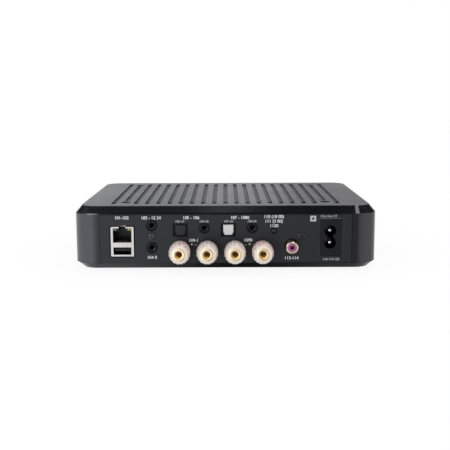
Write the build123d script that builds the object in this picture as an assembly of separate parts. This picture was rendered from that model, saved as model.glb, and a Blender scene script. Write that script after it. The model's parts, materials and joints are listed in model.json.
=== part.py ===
from build123d import *
import os

# A compact network audio amplifier: a black moulded casing with a grooved lid, a
# panel of sockets behind and a plain fascia in front. Sizes are in millimetres.
# +Z is up, the fascia faces -Y and the socket panel faces +Y. The origin lies on the
# surface that the feet stand on, in the middle of the whole outline.

# Casing
width = 213.0
depth = 160.0
height = 44.0
corner_radius = 16.0
wall = 2.5
roof = 3.0
floor = 2.5
top_bevel_in = 4.5
top_bevel_down = 5.2
base_bevel_in = 4.8
base_bevel_up = 4.1
seam_height = 4.6
seam_groove_tall = 0.4
seam_groove_deep = 0.6
edge_round = 0.5

# Fits
fixed_gap = 0.05
running_gap = 0.06
locating_gap = 0.2
shadow_gap = 0.3

# What stands out of the casing: feet below, buttons in front, terminals behind
foot_height = 2.0
button_proud = 0.6
post_reach = 20.0

overall_depth = button_proud + depth + post_reach
rear_y = overall_depth / 2 - post_reach
front_y = rear_y - depth
middle_y = (rear_y + front_y) / 2
base_z = foot_height
top_z = base_z + height
seam_z = base_z + seam_height
floor_z = base_z + floor

# Ventilation grooves in the lid, and the screws that close the casing
groove_pitch = 8.0
groove_side_margin = 22.0
groove_width = 3.2
groove_deep = 0.8
groove_margin = 11.8
groove_to_recess = 2.5
vent_length = 13.0
cover_screw_in = 25.0
recess_radius = 3.5
recess_deep = 18.0
boss_wall = 1.5
boss_web = 4.0
post_radius = 4.5
screw_radius = 1.5
screw_head_radius = 2.75
screw_head_tall = 2.0
screw_key_radius = 1.4
screw_key_deep = 1.2
screw_bite = 12.0
hole_end_gap = 1.0
groove_each_side = int((width / 2 - groove_side_margin) / groove_pitch)
cover_screw_groove = groove_each_side - 1
cover_screw_x = cover_screw_groove * groove_pitch
recess_floor_z = top_z - recess_deep
post_top_z = recess_floor_z - boss_web

# Vents in the tray
tray_vent_count = 9
tray_vent_pitch = 8.0
tray_vent_width = 2.5
tray_vent_long = 40.0

# Socket panel and fascia, which drop into matching openings in the cover
panel_past_corner = 2.5
panel_thick = 2.0
panel_below_bevel = 0.3
panel_lip = 2.0
lip_thick = 2.5
rim_inset = 4.2
rim_tall = 2.8
lip_above_rim = 0.5
rail_in = 1.0
panel_half_width = width / 2 - corner_radius - panel_past_corner
opening_top_z = top_z - top_bevel_down - panel_below_bevel
panel_top_z = opening_top_z - shadow_gap
rim_top_z = seam_z + rim_tall
panel_back_y = rear_y - panel_thick
fascia_back_y = front_y + panel_thick

# Feet
foot_radius = 6.8
foot_sunk = 0.8
foot_in_x = 22.5
foot_in_y = 24.0

# Boards
board_thick = 1.6
board_gap = 0.6
boards_apart = 3.0
main_board_top = 9.1
input_board_top = 22.3
standoff_radius = 3.0
standoff_in = 6.0
spacer_radius = 2.0
spacer_in_x = 2.3
spacer_in_y = 3.0
spacer_behind_panel = 12.5
board_screw_radius = 1.25
board_screw_head = 2.4
board_screw_tall = 1.4
board_screw_bite = 3.0
post_clear = 1.5
main_z = base_z + main_board_top
input_z = base_z + input_board_top
main_board_side = 4.0
main_board_in = 45.0
main_notch_left = -36.0
main_notch_right = 41.0
main_notch_deep = 14.0
main_rear_left = 22.0
main_rear_right = (30.0, 24.0)
supply_board_side = 6.0
supply_board_wide = 37.0
supply_board_in = 12.0
supply_front_standoff = 28.0
supply_rear_right = (4.0, 22.0)
supply_board_left = -(width / 2 - wall - supply_board_side)
supply_board_right = supply_board_left + supply_board_wide
supply_board_front = front_y + supply_board_in
main_board_left = supply_board_right + boards_apart
main_board_right = panel_half_width - main_board_side
main_board_front = front_y + main_board_in
input_board_left = -40.5
input_board_right = 46.0
input_board_deep = 24.4
front_board_side = 6.0
front_board_half = panel_half_width - front_board_side
front_board_low = base_z + 12.0
front_board_high = base_z + 32.0
front_boss_radius = 2.5
front_boss_long = 6.6
front_boss_down = 3.0
front_boss_xs = (-front_board_half + 16.0, -30.0, 40.0, front_board_half - 2.6)
front_board_y = fascia_back_y + front_boss_long

# Parts on the boards
transformer_core = (28.0, 24.0, 24.0)
transformer_window = (19.0, 16.0)
transformer_leg = 8.0
transformer_coil = (18.0, 32.0, 15.6)
transformer_ahead = 4.0
supply_sink_in = 9.0
supply_sink_plate = (3.0, 30.0, 26.0)
supply_sink_behind = 14.0
supply_sink_fin = 1.5
supply_sink_reach = 8.0
supply_sink_fins = 5
supply_sink_pitch = 6.5
supply_can_in = 9.0
supply_cans = ((24.0, 8.0, 24.0), (43.0, 6.0, 20.0))
main_can_in = 20.0
main_can_pitch = 13.0
main_can_behind = 8.0
main_can = (5.0, 18.0)
main_can_count = 3
can_round = 0.6
amplifier_behind = 35.0
amplifier_size = (24.0, 16.0, 2.0)
sink_size = (52.0, 40.0, 20.0)
sink_base = 4.0
sink_fins = 11
sink_fin_pitch = 5.0
sink_fin_thick = 1.6
choke_behind_panel = 34.0
choke_side = 11.0
choke_tall = 9.0
choke_round = 1.5
shield_x = 51.0
shield_behind = 30.0
shield_size = (30.0, 32.0, 4.0)
shield_sheet = 0.3
processor_size = (14.0, 14.0, 1.4)

# Network and USB socket: a folded metal shell with two moulded cavities
network_from_side = 15.9
network_x = panel_half_width - network_from_side
network_width = 16.0
network_low = 9.1
network_high = 30.0
network_deep = 17.5
network_proud = 0.3
network_sheet = 0.5
network_corner = 0.6
network_cutout_gap = 0.8
network_notch_deep = 6.0
network_line_heights = (16.8, 18.3)
network_line_tall = 0.3
network_line_deep = 0.15
network_window_width = 13.0
network_window_low = 18.9
network_window_high = 29.0
window_moulding_back = 0.15
plug_mouth_width = 12.3
plug_mouth_low = 19.1
plug_mouth_high = 26.9
plug_key_width = 4.8
plug_key_high = 30.0
plug_cavity_deep = 14.0
plug_wires = 8
plug_wire_pitch = 1.02
plug_wire_radius = 0.2
plug_wire_rise = 1.8
plug_wire_set_back = 2.5
light_width = 2.6
light_low = 27.4
light_high = 28.9
light_deep = 6.0
light_in_window = 0.1
usb_width = 12.5
usb_low = 10.3
usb_high = 15.55
usb_deep = 12.0
usb_tongue_width = 10.6
usb_tongue_low = 12.9
usb_tongue_high = 14.6
usb_tongue_set_back = 1.4
usb_pads = 4
usb_pad_pitch = 2.3
usb_pad_width = 1.0
usb_pad_thick = 0.1
usb_pad_long = 8.0
usb_pad_set_back = 2.0

# 3.5 mm sockets
jack_bore = 1.8
jack_nose = 3.3
jack_proud = 0.3
jack_hole_gap = 0.7
jack_half_width = 4.0
jack_deep = 11.5
jack_bore_deep = 13.5
jack_slot_half = 0.8
jack_slot_top = 2.9
jack_slot_ahead = 2.0
jack_slot_behind = 2.5
jack_leaf_down = 0.3
jack_leaf_thick = 0.3
control_jack_x = 51.3
trigger_jack_height = 30.75
infrared_jack_height = 15.3
trigger_body_low = 19.5
trigger_body_high = 35.5
line_in_x = 14.8
line_in_height = 29.0
line_out_x = -18.6
line_out_height = 29.2
line_body_high = 33.4

# Optical sockets with sprung shutters
optical_in_x = 31.6
optical_out_x = -1.9
optical_height = 27.55
optical_frame_side = 1.45
optical_frame_over = 0.8
optical_deep = 13.0
optical_set_back = 0.1
optical_cavity_deep = 10.5
optical_cut_gap = 0.15
shutter_width = 7.0
shutter_tall = 7.5
optical_frame_width = shutter_width + 2 * optical_frame_side
optical_frame_tall = shutter_tall + 2 * optical_frame_over
shutter_thick = 0.8
shutter_set_back = 0.4
shutter_gap = 0.15
shutter_corner_x = 1.25
shutter_corner_z = 2.4
shutter_barrel = 0.5
shutter_pin = 0.4
shutter_pin_long = 0.6
sill_tall = 0.3
sill_root = 0.2
lens_radius = 1.5
lens_long = 1.2

# Loudspeaker terminals
post_pitch = 19.05
post_centre_x = 3.1
post_height = 13.7
post_count = 4
stud_radius = 3.0
stud_inside = 11.0
stud_short_of_end = 0.6
stud_bevel = 0.3
plug_bore = 2.0
plug_bore_long = 13.0
plug_countersink = 0.2
wire_hole_radius = 1.4
wire_hole_out = 3.9
collar_radius = 6.8
collar_thick = 2.0
collar_round = 0.4
collar_wall = 1.0
collar_spigot = stud_radius + collar_wall
nut_wall = 2.0
nut_thick = 3.0
washer_wall = 2.6
washer_radius = stud_radius + washer_wall
washer_thick = 1.0
core_wall = 1.3
core_radius = stud_radius + core_wall
core_lip = 0.5
core_mouth = plug_bore + 0.4
grip_base_wall = 3.2
grip_end_wall = 2.3
grip_base_radius = core_radius + grip_base_wall
grip_end_radius = core_radius + grip_end_wall
grip_set_back = 0.3
flute_count = 16
flute_radius = 0.8
flute_in = 0.45

# Reset button
reset_x = -33.7
reset_height = 26.9
reset_radius = 1.4
reset_hole_gap = 0.5
reset_set_back = 0.6
button_flange = 0.9
button_flange_thick = 0.8
button_slack = 0.1
plunger_radius = 1.1
plunger_in_switch = 1.0
switch_bore_deep = 1.8
switch_side = 6.2
switch_thick = 3.2
reset_switch_front = 5.4

# Phono socket for a separate bass loudspeaker
phono_x = -45.8
phono_height = 16.5
phono_shell = 4.15
phono_shell_thin = 1.2
phono_shell_step = 0.25
phono_reach = 9.5
phono_inside = 8.0
phono_bore = 1.6
phono_contact_thin = 0.3
phono_lip = 1.5
phono_bore_long = 14.0
phono_boss = 4.9
phono_boss_proud = 0.1
phono_mouth_bevel = 0.4
phono_cut_gap = 0.1
phono_block_left = phono_x - 11.3
phono_block_right = phono_x + 5.0
phono_block_high = 26.5
phono_block_deep = 12.0

# Mains inlet, for a figure-eight connector
inlet_from_side = 15.05
inlet_x = -(panel_half_width - inlet_from_side)
inlet_width = 15.2
inlet_low = 9.0
inlet_high = 35.6
inlet_deep = 17.0
inlet_proud = 0.3
inlet_edge_bevel = 0.25
inlet_cut_gap = 0.15
inlet_flange = 2.0
inlet_flange_thick = 1.5
inlet_pin_pitch = 8.6
inlet_middle = 22.35
inlet_lobe = 4.1
inlet_waist = 4.4
inlet_cavity_deep = 12.9
inlet_pin_radius = 1.2
inlet_pin_long = 10.0
inlet_pin_shoulder = 1.9
inlet_pin_shoulder_long = 0.4
inlet_lug_half = 0.6
inlet_lug_thick = 1.0
inlet_lug_aside = 3.0
inlet_lug_gap = 0.3
supply_board_rear = rear_y - inlet_deep - inlet_lug_gap

# Screws in the socket panel
panel_screw_radius = 1.45
panel_screw_head = 2.6
panel_screw_tall = 1.3
panel_screw_long = 7.0
panel_screw_hole_gap = 0.15
panel_screw_height = 23.2
panel_screw_round = 0.6
panel_screw_cross = 1.7
panel_screw_cross_deep = 0.9
panel_screw_xs = (control_jack_x - 0.2, phono_x - 7.05)

# Fascia fittings
fascia_row_height = 22.0
front_button_radius = 3.5
front_button_round = 0.36
front_button_in = 20.0
front_button_pitch = 13.0
front_button_x = front_board_half - front_button_in
light_pipe_in = 8.0
light_pipe_x = light_pipe_in - front_board_half
light_pipe_radius = 1.25
light_pipe_flange = 0.8
window_beside_light = 14.0
window_x = light_pipe_x + window_beside_light
window_width = 9.0
window_tall = 4.4
window_flange = 1.0
window_flange_thick = 0.8


def block(x_low, x_high, y_low, y_high, z_low, z_high):
    """Rectangular block between two corners."""
    size = (x_high - x_low, y_high - y_low, z_high - z_low)
    centre = ((x_low + x_high) / 2, (y_low + y_high) / 2, (z_low + z_high) / 2)
    return Pos(*centre) * Box(*size)


def rod_y(x, z, radius, y_low, y_high):
    """Round bar along Y."""
    return Pos(x, (y_low + y_high) / 2, z) * Rot(90, 0, 0) * Cylinder(radius, y_high - y_low)


def rod_z(x, y, radius, z_low, z_high):
    """Round bar along Z."""
    return Pos(x, y, (z_low + z_high) / 2) * Cylinder(radius, z_high - z_low)


def rod_x(y, z, radius, x_low, x_high):
    """Round bar along X."""
    return Pos((x_low + x_high) / 2, y, z) * Rot(0, 90, 0) * Cylinder(radius, x_high - x_low)


def plate(outline, y_low, y_high):
    """Outline drawn in x and z, made solid between two y places."""
    face_plane = Plane(origin=(0, y_high, 0), x_dir=(1, 0, 0), z_dir=(0, -1, 0))
    return extrude(face_plane * outline, y_high - y_low)


def casing_slab(inset, z_low, z_high):
    """Slab with the casing's outline in plan, drawn in by inset."""
    outline = RectangleRounded(width - 2 * inset, depth - 2 * inset, corner_radius - inset)
    return extrude(Pos(0, middle_y, z_low) * outline, z_high - z_low)


def bevel(slab, top, run_in, run_along):
    """Bevel all round a slab's top or bottom face."""
    face = slab.faces().sort_by(Axis.Z)[-1 if top else 0]
    return chamfer(face.edges(), run_in, run_along, reference=face)


def save(name, shape):
    """Write one sub-part."""
    export_step(shape, f"parts/{name}.step")


def cover_screw_places():
    """Plan places of the four screws in the lid."""
    rows = (front_y + cover_screw_in, rear_y - cover_screw_in)
    return [(side * cover_screw_x, y) for side in (-1, 1) for y in rows]


def foot_places():
    """Plan places of the four feet."""
    x = width / 2 - foot_in_x
    return [(side * x, y) for side in (-1, 1) for y in (front_y + foot_in_y, rear_y - foot_in_y)]


def post_xs():
    """Places of the loudspeaker terminals along X."""
    return [post_centre_x + (post_count / 2 - 0.5 - i) * post_pitch for i in range(post_count)]


def main_standoffs():
    """Plan places of the pillars under the main board."""
    return [
        (main_board_left + standoff_in, main_board_front + standoff_in),
        (main_board_right - standoff_in, main_board_front + standoff_in),
        (main_board_left + standoff_in, rear_y - main_rear_left),
        (main_board_right - main_rear_right[0], rear_y - main_rear_right[1]),
    ]


def supply_standoffs():
    """Plan places of the pillars under the supply board."""
    return [
        (supply_board_left + standoff_in, supply_board_front + supply_front_standoff),
        (supply_board_right - standoff_in, supply_board_front + supply_front_standoff),
        (supply_board_left + standoff_in, supply_board_rear - standoff_in),
        (supply_board_right - supply_rear_right[0], supply_board_rear - supply_rear_right[1]),
    ]


def spacer_places():
    """Plan places of the pillars between the main board and the input board."""
    near_panel = rear_y - spacer_behind_panel
    far = panel_back_y - board_gap - input_board_deep + spacer_in_y
    left = input_board_left + spacer_in_x
    right = input_board_right - spacer_in_x
    return [(left, near_panel), (right, near_panel), (left, far), (right, far)]


def front_boss_places():
    """Places in x and z of the bosses that carry the front board."""
    return [(x, front_board_high - front_boss_down) for x in front_boss_xs]


def front_button_xs():
    """Places of the three front buttons along X."""
    return [front_button_x + step * front_button_pitch for step in (-1, 0, 1)]


def groove(x, y_low, y_high, deep):
    """Cutter for one round-ended groove in the lid."""
    outline = Rot(0, 0, 90) * SlotOverall(y_high - y_low, groove_width)
    return extrude(Pos(x, (y_low + y_high) / 2, top_z) * outline, -deep)


def lid_grooves():
    """Cutters for all the grooves, and for the vent at the rear end of each."""
    y_low = front_y + top_bevel_in + groove_margin
    y_high = rear_y - top_bevel_in - groove_margin
    cutters = []
    for n in range(-groove_each_side, groove_each_side + 1):
        x = n * groove_pitch
        if abs(n) == cover_screw_groove:
            end_in = cover_screw_in + recess_radius + groove_to_recess
            cutters.append(groove(x, front_y + end_in, rear_y - end_in, groove_deep))
        else:
            cutters.append(groove(x, y_low, y_high, groove_deep))
            cutters.append(groove(x, y_high - vent_length, y_high, roof + 1))
    return cutters


def panel_opening(y_low, y_high):
    """Cutter for an opening that takes the socket panel or the fascia."""
    half = panel_half_width + shadow_gap
    return block(-half, half, y_low, y_high, seam_z - 1, opening_top_z)


def panel_lips(y_low, y_high):
    """Lips inside the cover that the panel or fascia backs on to."""
    half = panel_half_width - panel_lip
    outer = panel_half_width + lip_thick
    low = rim_top_z + lip_above_rim
    high = opening_top_z + panel_below_bevel + 1
    top = block(-outer, outer, y_low, y_high, opening_top_z - panel_lip, high)
    left = block(-outer, -half, y_low, y_high, low, high)
    right = block(half, outer, y_low, y_high, low, high)
    return [top, left, right]


def top_cover():
    """Lid and walls, moulded in one, with screw bosses under the lid."""
    cover = bevel(casing_slab(0, seam_z, top_z), True, top_bevel_in, top_bevel_down)
    sharp = cover.edges().filter_by(lambda edge: edge.center().Z > seam_z + 1)
    sharp = sharp.filter_by(lambda edge: edge.bounding_box().size.Z < 0.01)
    cover = fillet(sharp, edge_round)
    cover -= bevel(casing_slab(wall, seam_z - 1, top_z - roof), True, top_bevel_in, top_bevel_down)
    cover -= panel_opening(rear_y - wall - 1, rear_y + 1)
    cover -= panel_opening(front_y - 1, front_y + wall + 1)
    cover += panel_lips(panel_back_y - lip_thick, panel_back_y)
    cover += panel_lips(fascia_back_y, fascia_back_y + lip_thick)
    for x, y in cover_screw_places():
        cover += rod_z(x, y, recess_radius + boss_wall, post_top_z, top_z - roof)
        cover -= rod_z(x, y, recess_radius, recess_floor_z, top_z + 1)
        cover -= rod_z(x, y, screw_radius + fixed_gap, post_top_z - 1, recess_floor_z + 1)
    cover -= lid_grooves()
    return cover


def bottom_tray():
    """Tray with a bevelled rim, posts for the cover screws and pillars for the boards."""
    tray = bevel(casing_slab(0, base_z, seam_z), False, base_bevel_in, base_bevel_up)
    groove_low = seam_z - seam_groove_tall
    ring = casing_slab(-1, groove_low, seam_z + 1) - casing_slab(seam_groove_deep, groove_low, seam_z + 1)
    tray -= ring
    tray += casing_slab(wall + locating_gap, seam_z - 1, rim_top_z)
    tray -= casing_slab(rim_inset, floor_z, rim_top_z + 1)
    rail_half = panel_half_width - panel_lip - rail_in
    inlet_side = inlet_x + inlet_width / 2 + inlet_flange + rail_in
    tray += block(inlet_side, rail_half, panel_back_y - lip_thick, panel_back_y, floor_z, rim_top_z)
    tray += block(-rail_half, rail_half, fascia_back_y, fascia_back_y + lip_thick, floor_z, rim_top_z)
    hole = screw_radius + fixed_gap
    for x, y in cover_screw_places():
        tray += rod_z(x, y, post_radius, floor_z - 0.5, post_top_z)
        tray -= rod_z(x, y, hole, post_top_z - screw_bite - hole_end_gap, post_top_z + 1)
    for x, y in main_standoffs() + supply_standoffs():
        tray += rod_z(x, y, standoff_radius, floor_z - 0.5, main_z - board_thick)
        tray -= rod_z(x, y, board_screw_radius + fixed_gap, floor_z + 1, main_z)
    for x, y in foot_places():
        tray -= rod_z(x, y, foot_radius + fixed_gap, base_z - 1, base_z + foot_sunk)
    vent = Rot(0, 0, 90) * SlotOverall(tray_vent_long, tray_vent_width)
    for i in range(tray_vent_count):
        x = (i - (tray_vent_count - 1) / 2) * tray_vent_pitch
        tray -= extrude(Pos(x, middle_y, base_z - 1) * vent, floor + 2)
    return tray


def rubber_feet():
    """Four round feet, each with a softened lower edge."""
    feet = []
    for x, y in foot_places():
        foot = rod_z(x, y, foot_radius, 0, base_z + foot_sunk)
        rim = foot.faces().sort_by(Axis.Z)[0].edges()
        feet.append(fillet(rim, foot_height / 4))
    return feet


def cover_screws():
    """Four long screws down through the lid's bosses into the tray's posts."""
    screws = []
    for x, y in cover_screw_places():
        head = rod_z(x, y, screw_head_radius, recess_floor_z, recess_floor_z + screw_head_tall)
        socket_outline = RegularPolygon(screw_key_radius, 6)
        head -= extrude(Pos(x, y, recess_floor_z + screw_head_tall) * socket_outline, -screw_key_deep)
        shank = rod_z(x, y, screw_radius, post_top_z - screw_bite, recess_floor_z)
        screws.append(head + shank)
    return screws


def cross_slot(x, z, half, y_low, y_high):
    """Cutter for a cross recess in a screw head that faces +Y."""
    arm = half / 3
    upright = block(x - arm, x + arm, y_low, y_high, z - half, z + half)
    level = block(x - half, x + half, y_low, y_high, z - arm, z + arm)
    return upright + level


def panel_screws():
    """Two cross-head screws that hold the socket blocks to the panel."""
    screws = []
    z = base_z + panel_screw_height
    end_y = rear_y + panel_screw_tall
    for x in panel_screw_xs:
        head = rod_y(x, z, panel_screw_head, rear_y, end_y)
        head = fillet(head.faces().sort_by(Axis.Y)[-1].edges(), panel_screw_round)
        head -= cross_slot(x, z, panel_screw_cross, end_y - panel_screw_cross_deep, end_y + 1)
        screws.append(head + rod_y(x, z, panel_screw_radius, rear_y - panel_screw_long, rear_y))
    return screws


def fixing_screw_up(x, y, top):
    """Small screw down through a board into the pillar below it."""
    head = rod_z(x, y, board_screw_head, top, top + board_screw_tall)
    shank = rod_z(x, y, board_screw_radius, top - board_thick - board_screw_bite, top)
    return head + shank


def board_screws():
    """All the small screws that hold the boards."""
    screws = [fixing_screw_up(x, y, main_z) for x, y in main_standoffs() + supply_standoffs()]
    screws += [fixing_screw_up(x, y, input_z) for x, y in spacer_places()]
    back = front_board_y + board_thick
    for x, z in front_boss_places():
        head = rod_y(x, z, board_screw_head, back, back + board_screw_tall)
        shank = rod_y(x, z, board_screw_radius, front_board_y - board_screw_bite, back)
        screws.append(head + shank)
    return screws


def network_outline(margin):
    """Outline in x and z of the network and USB shell, let out by margin."""
    size = (network_width + 2 * margin, network_high - network_low + 2 * margin)
    centre = (network_x, base_z + (network_low + network_high) / 2)
    return Pos(*centre) * RectangleRounded(*size, network_corner + margin)


def plug_outline(margin):
    """Outline in x and z of the network plug's mouth, with the slot for its latch."""
    low = base_z + plug_mouth_low - margin
    mouth_high = base_z + plug_mouth_high + margin
    key_high = base_z + plug_key_high + margin
    half = plug_mouth_width / 2 + margin
    key = plug_key_width / 2 + margin
    corners = [
        (network_x - half, low),
        (network_x + half, low),
        (network_x + half, mouth_high),
        (network_x + key, mouth_high),
        (network_x + key, key_high),
        (network_x - key, key_high),
        (network_x - key, mouth_high),
        (network_x - half, mouth_high),
    ]
    return make_face(Polyline(*corners, close=True))


def network_window(margin):
    """Outline in x and z of the shell's window round the network mouth and the lights, let out by margin."""
    size = (network_window_width + 2 * margin, network_window_high - network_window_low + 2 * margin)
    return Pos(network_x, base_z + (network_window_low + network_window_high) / 2) * Rectangle(*size)


def usb_outline(margin):
    """Outline in x and z of the USB mouth."""
    size = (usb_width + 2 * margin, usb_high - usb_low + 2 * margin)
    return Pos(network_x, base_z + (usb_low + usb_high) / 2) * Rectangle(*size)


def light_boxes(gap, y_high):
    """The two small lights above the network mouth, one at each side of the latch slot."""
    outer = network_window_width / 2 - light_in_window
    y_low = rear_y + network_proud - light_deep - gap
    low = base_z + light_low - gap
    high = base_z + light_high + gap
    boxes = []
    for side in (-1, 1):
        near = network_x + side * (outer - light_width)
        far = network_x + side * outer
        x_low = min(near, far) - gap
        x_high = max(near, far) + gap
        boxes.append(block(x_low, x_high, y_low, y_high, low, high))
    return boxes


def optical_outline(x, margin):
    """Keyed outline in x and z of an optical socket's shutter, let out by margin."""
    half = shutter_width / 2 + margin
    foot = shutter_width / 2 - shutter_corner_x + margin / 2
    centre_z = base_z + optical_height
    top = centre_z + shutter_tall / 2 + margin
    bottom = centre_z - shutter_tall / 2 - margin
    knee = bottom + shutter_corner_z
    corners = [(x - half, top), (x + half, top), (x + half, knee), (x + foot, bottom)]
    corners += [(x - foot, bottom), (x - half, knee)]
    return make_face(Polyline(*corners, close=True))


def rear_panel():
    """Socket panel with an opening for every socket, terminal, screw and button."""
    tall = panel_top_z - seam_z
    outline = Pos(0, seam_z + tall / 2) * Rectangle(2 * panel_half_width, tall)
    panel = plate(outline, panel_back_y, rear_y)
    through = (panel_back_y - 1, rear_y + 1)
    panel -= plate(network_outline(network_cutout_gap), *through)
    for x, z, _, _ in jack_places():
        panel -= rod_y(x, z, jack_nose + jack_hole_gap, *through)
    for x in (optical_in_x, optical_out_x):
        panel -= plate(optical_frame(x, optical_cut_gap), *through)
    for x in post_xs():
        panel -= rod_y(x, base_z + post_height, collar_spigot + fixed_gap, *through)
    for x in panel_screw_xs:
        hole = panel_screw_radius + panel_screw_hole_gap
        panel -= rod_y(x, base_z + panel_screw_height, hole, *through)
    panel -= rod_y(reset_x, base_z + reset_height, reset_radius + reset_hole_gap, *through)
    panel -= rod_y(phono_x, base_z + phono_height, phono_boss + phono_cut_gap, *through)
    panel -= plate(inlet_outline(inlet_cut_gap), *through)
    return panel


def front_fascia():
    """Plain fascia with bosses for the front board behind it."""
    tall = panel_top_z - seam_z
    outline = Pos(0, seam_z + tall / 2) * Rectangle(2 * panel_half_width, tall)
    fascia = plate(outline, front_y, fascia_back_y)
    for x, z in front_boss_places():
        fascia += rod_y(x, z, front_boss_radius, fascia_back_y, front_board_y)
        fascia -= rod_y(x, z, board_screw_radius + fixed_gap, fascia_back_y + 0.5, front_board_y + 1)
    z = base_z + fascia_row_height
    through = (front_y - 1, fascia_back_y + 1)
    for x in front_button_xs():
        fascia -= rod_y(x, z, front_button_radius + running_gap, *through)
    fascia -= rod_y(light_pipe_x, z, light_pipe_radius + fixed_gap, *through)
    fascia -= plate(window_outline(fixed_gap), *through)
    return fascia


def window_outline(margin):
    """Outline in x and z of the infrared window, let out by margin."""
    size = (window_width + 2 * margin, window_tall + 2 * margin)
    return Pos(window_x, base_z + fascia_row_height) * RectangleRounded(*size, 1.2 + margin)


def ir_window():
    """Infrared window, with a flange behind the fascia."""
    window = plate(window_outline(0), front_y, fascia_back_y)
    return window + plate(window_outline(window_flange), fascia_back_y, fascia_back_y + window_flange_thick)


def status_light():
    """Light pipe from the fascia back to the front board."""
    z = base_z + fascia_row_height
    pipe = rod_y(light_pipe_x, z, light_pipe_radius, front_y, front_board_y)
    flange_radius = light_pipe_radius + light_pipe_flange
    return pipe + rod_y(light_pipe_x, z, flange_radius, fascia_back_y, fascia_back_y + light_pipe_flange)


def front_button(x):
    """Round push button: cap, flange behind the fascia and plunger into its switch."""
    z = base_z + fascia_row_height
    flange_y = fascia_back_y + button_slack
    cap = rod_y(x, z, front_button_radius, front_y - button_proud, flange_y)
    cap = fillet(cap.faces().sort_by(Axis.Y)[0].edges(), front_button_round)
    flange = rod_y(x, z, front_button_radius + button_flange, flange_y, flange_y + button_flange_thick)
    switch_y = front_board_y - switch_thick
    plunger = rod_y(x, z, plunger_radius, flange_y, switch_y + plunger_in_switch)
    return cap + flange + plunger


def reset_button():
    """Small recessed button in the socket panel."""
    z = base_z + reset_height
    flange_y = panel_back_y - button_slack
    cap = rod_y(reset_x, z, reset_radius, flange_y, rear_y - reset_set_back)
    flange = rod_y(reset_x, z, reset_radius + button_flange, flange_y - button_flange_thick, flange_y)
    switch_y = rear_y - reset_switch_front
    plunger = rod_y(reset_x, z, plunger_radius, switch_y - plunger_in_switch, flange_y)
    return cap + flange + plunger


def tact_switches():
    """Switch bodies behind the three front buttons and the reset button."""
    half = switch_side / 2
    hole = plunger_radius + running_gap
    z = base_z + fascia_row_height
    switches = []
    for x in front_button_xs():
        front = front_board_y - switch_thick
        body = block(x - half, x + half, front, front_board_y, z - half, z + half)
        switches.append(body - rod_y(x, z, hole, front - 1, front + switch_bore_deep))
    z = base_z + reset_height
    front = rear_y - reset_switch_front
    body = block(reset_x - half, reset_x + half, front - switch_thick, front, input_z, z + half)
    switches.append(body - rod_y(reset_x, z, hole, front - switch_bore_deep, front + 1))
    return switches


def front_board():
    """Upright board that carries the front switches."""
    back = front_board_y + board_thick
    heights = (front_board_low, front_board_high)
    board = block(-front_board_half, front_board_half, front_board_y, back, *heights)
    for x, z in front_boss_places():
        board -= rod_y(x, z, board_screw_radius + fixed_gap, front_board_y - 1, back + 1)
    return board


def cut_for_posts(board):
    """Clear a board round the posts that take the cover screws."""
    for x, y in cover_screw_places():
        board -= rod_z(x, y, recess_radius + boss_wall + post_clear, floor_z, top_z)
    return board


def main_board():
    """Main board, cut back behind the loudspeaker terminals."""
    low = main_z - board_thick
    rear = panel_back_y - board_gap
    board = block(main_board_left, main_board_right, main_board_front, rear, low, main_z)
    notch_y = rear_y - main_notch_deep
    board -= block(main_notch_left, main_notch_right, notch_y, rear + 1, low - 1, main_z + 1)
    board = cut_for_posts(board)
    for x, y in main_standoffs():
        board -= rod_z(x, y, board_screw_radius + fixed_gap, low - 1, main_z + 1)
    return board


def supply_board():
    """Power supply board, behind the mains inlet."""
    low = main_z - board_thick
    sides = (supply_board_left, supply_board_right)
    board = block(*sides, supply_board_front, supply_board_rear, low, main_z)
    board = cut_for_posts(board)
    for x, y in supply_standoffs():
        board -= rod_z(x, y, board_screw_radius + fixed_gap, low - 1, main_z + 1)
    return board


def input_board():
    """Upper board, which carries the optical and line sockets and the reset switch."""
    rear = panel_back_y - board_gap
    low = input_z - board_thick
    board = block(input_board_left, input_board_right, rear - input_board_deep, rear, low, input_z)
    for x, y in spacer_places():
        board -= rod_z(x, y, board_screw_radius + fixed_gap, low - 1, input_z + 1)
    return board


def board_spacers():
    """Round pillars between the main board and the input board."""
    spacers = []
    high = input_z - board_thick
    hole = board_screw_radius + fixed_gap
    for x, y in spacer_places():
        spacer = rod_z(x, y, spacer_radius, main_z, high)
        spacer -= rod_z(x, y, hole, high - board_screw_bite - hole_end_gap, high + 1)
        spacers.append(spacer)
    return spacers


def network_usb_shell():
    """Folded metal shell round the network and USB sockets, notched over the plug's latch."""
    front = rear_y + network_proud
    back = rear_y - network_deep
    shell = plate(network_outline(0), back, front)
    shell -= plate(network_outline(-network_sheet), back - 1, front - network_sheet)
    shell -= plate(network_window(0), front - network_sheet - 1, front + 1)
    shell -= plate(usb_outline(0), back, front + 1)
    key = plug_key_width / 2
    notch_z = (base_z + plug_key_high - 1, base_z + network_high + 1)
    shell -= block(network_x - key, network_x + key, front - network_notch_deep, front + 1, *notch_z)
    line_x = (network_x - usb_width / 2, network_x + usb_width / 2)
    for height in network_line_heights:
        low = base_z + height - network_line_tall / 2
        shell -= block(*line_x, front - network_line_deep, front + 1, low, low + network_line_tall)
    return shell


def network_insert():
    """Black moulding inside the shell, which fills the shell's window round the plug's mouth and the lights."""
    face = rear_y + network_proud
    front = face - network_sheet
    back = rear_y - network_deep
    insert = plate(network_outline(-network_sheet - fixed_gap), back, front)
    insert += plate(network_window(-fixed_gap), front, face - window_moulding_back)
    insert -= plate(plug_outline(0), front - plug_cavity_deep, front + 1)
    insert -= plate(usb_outline(0), front - usb_deep, front + 1)
    insert -= light_boxes(fixed_gap, front + 1)
    return insert


def network_lights():
    """Two light pipes in the shell's face."""
    return light_boxes(0, rear_y + network_proud)


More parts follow.
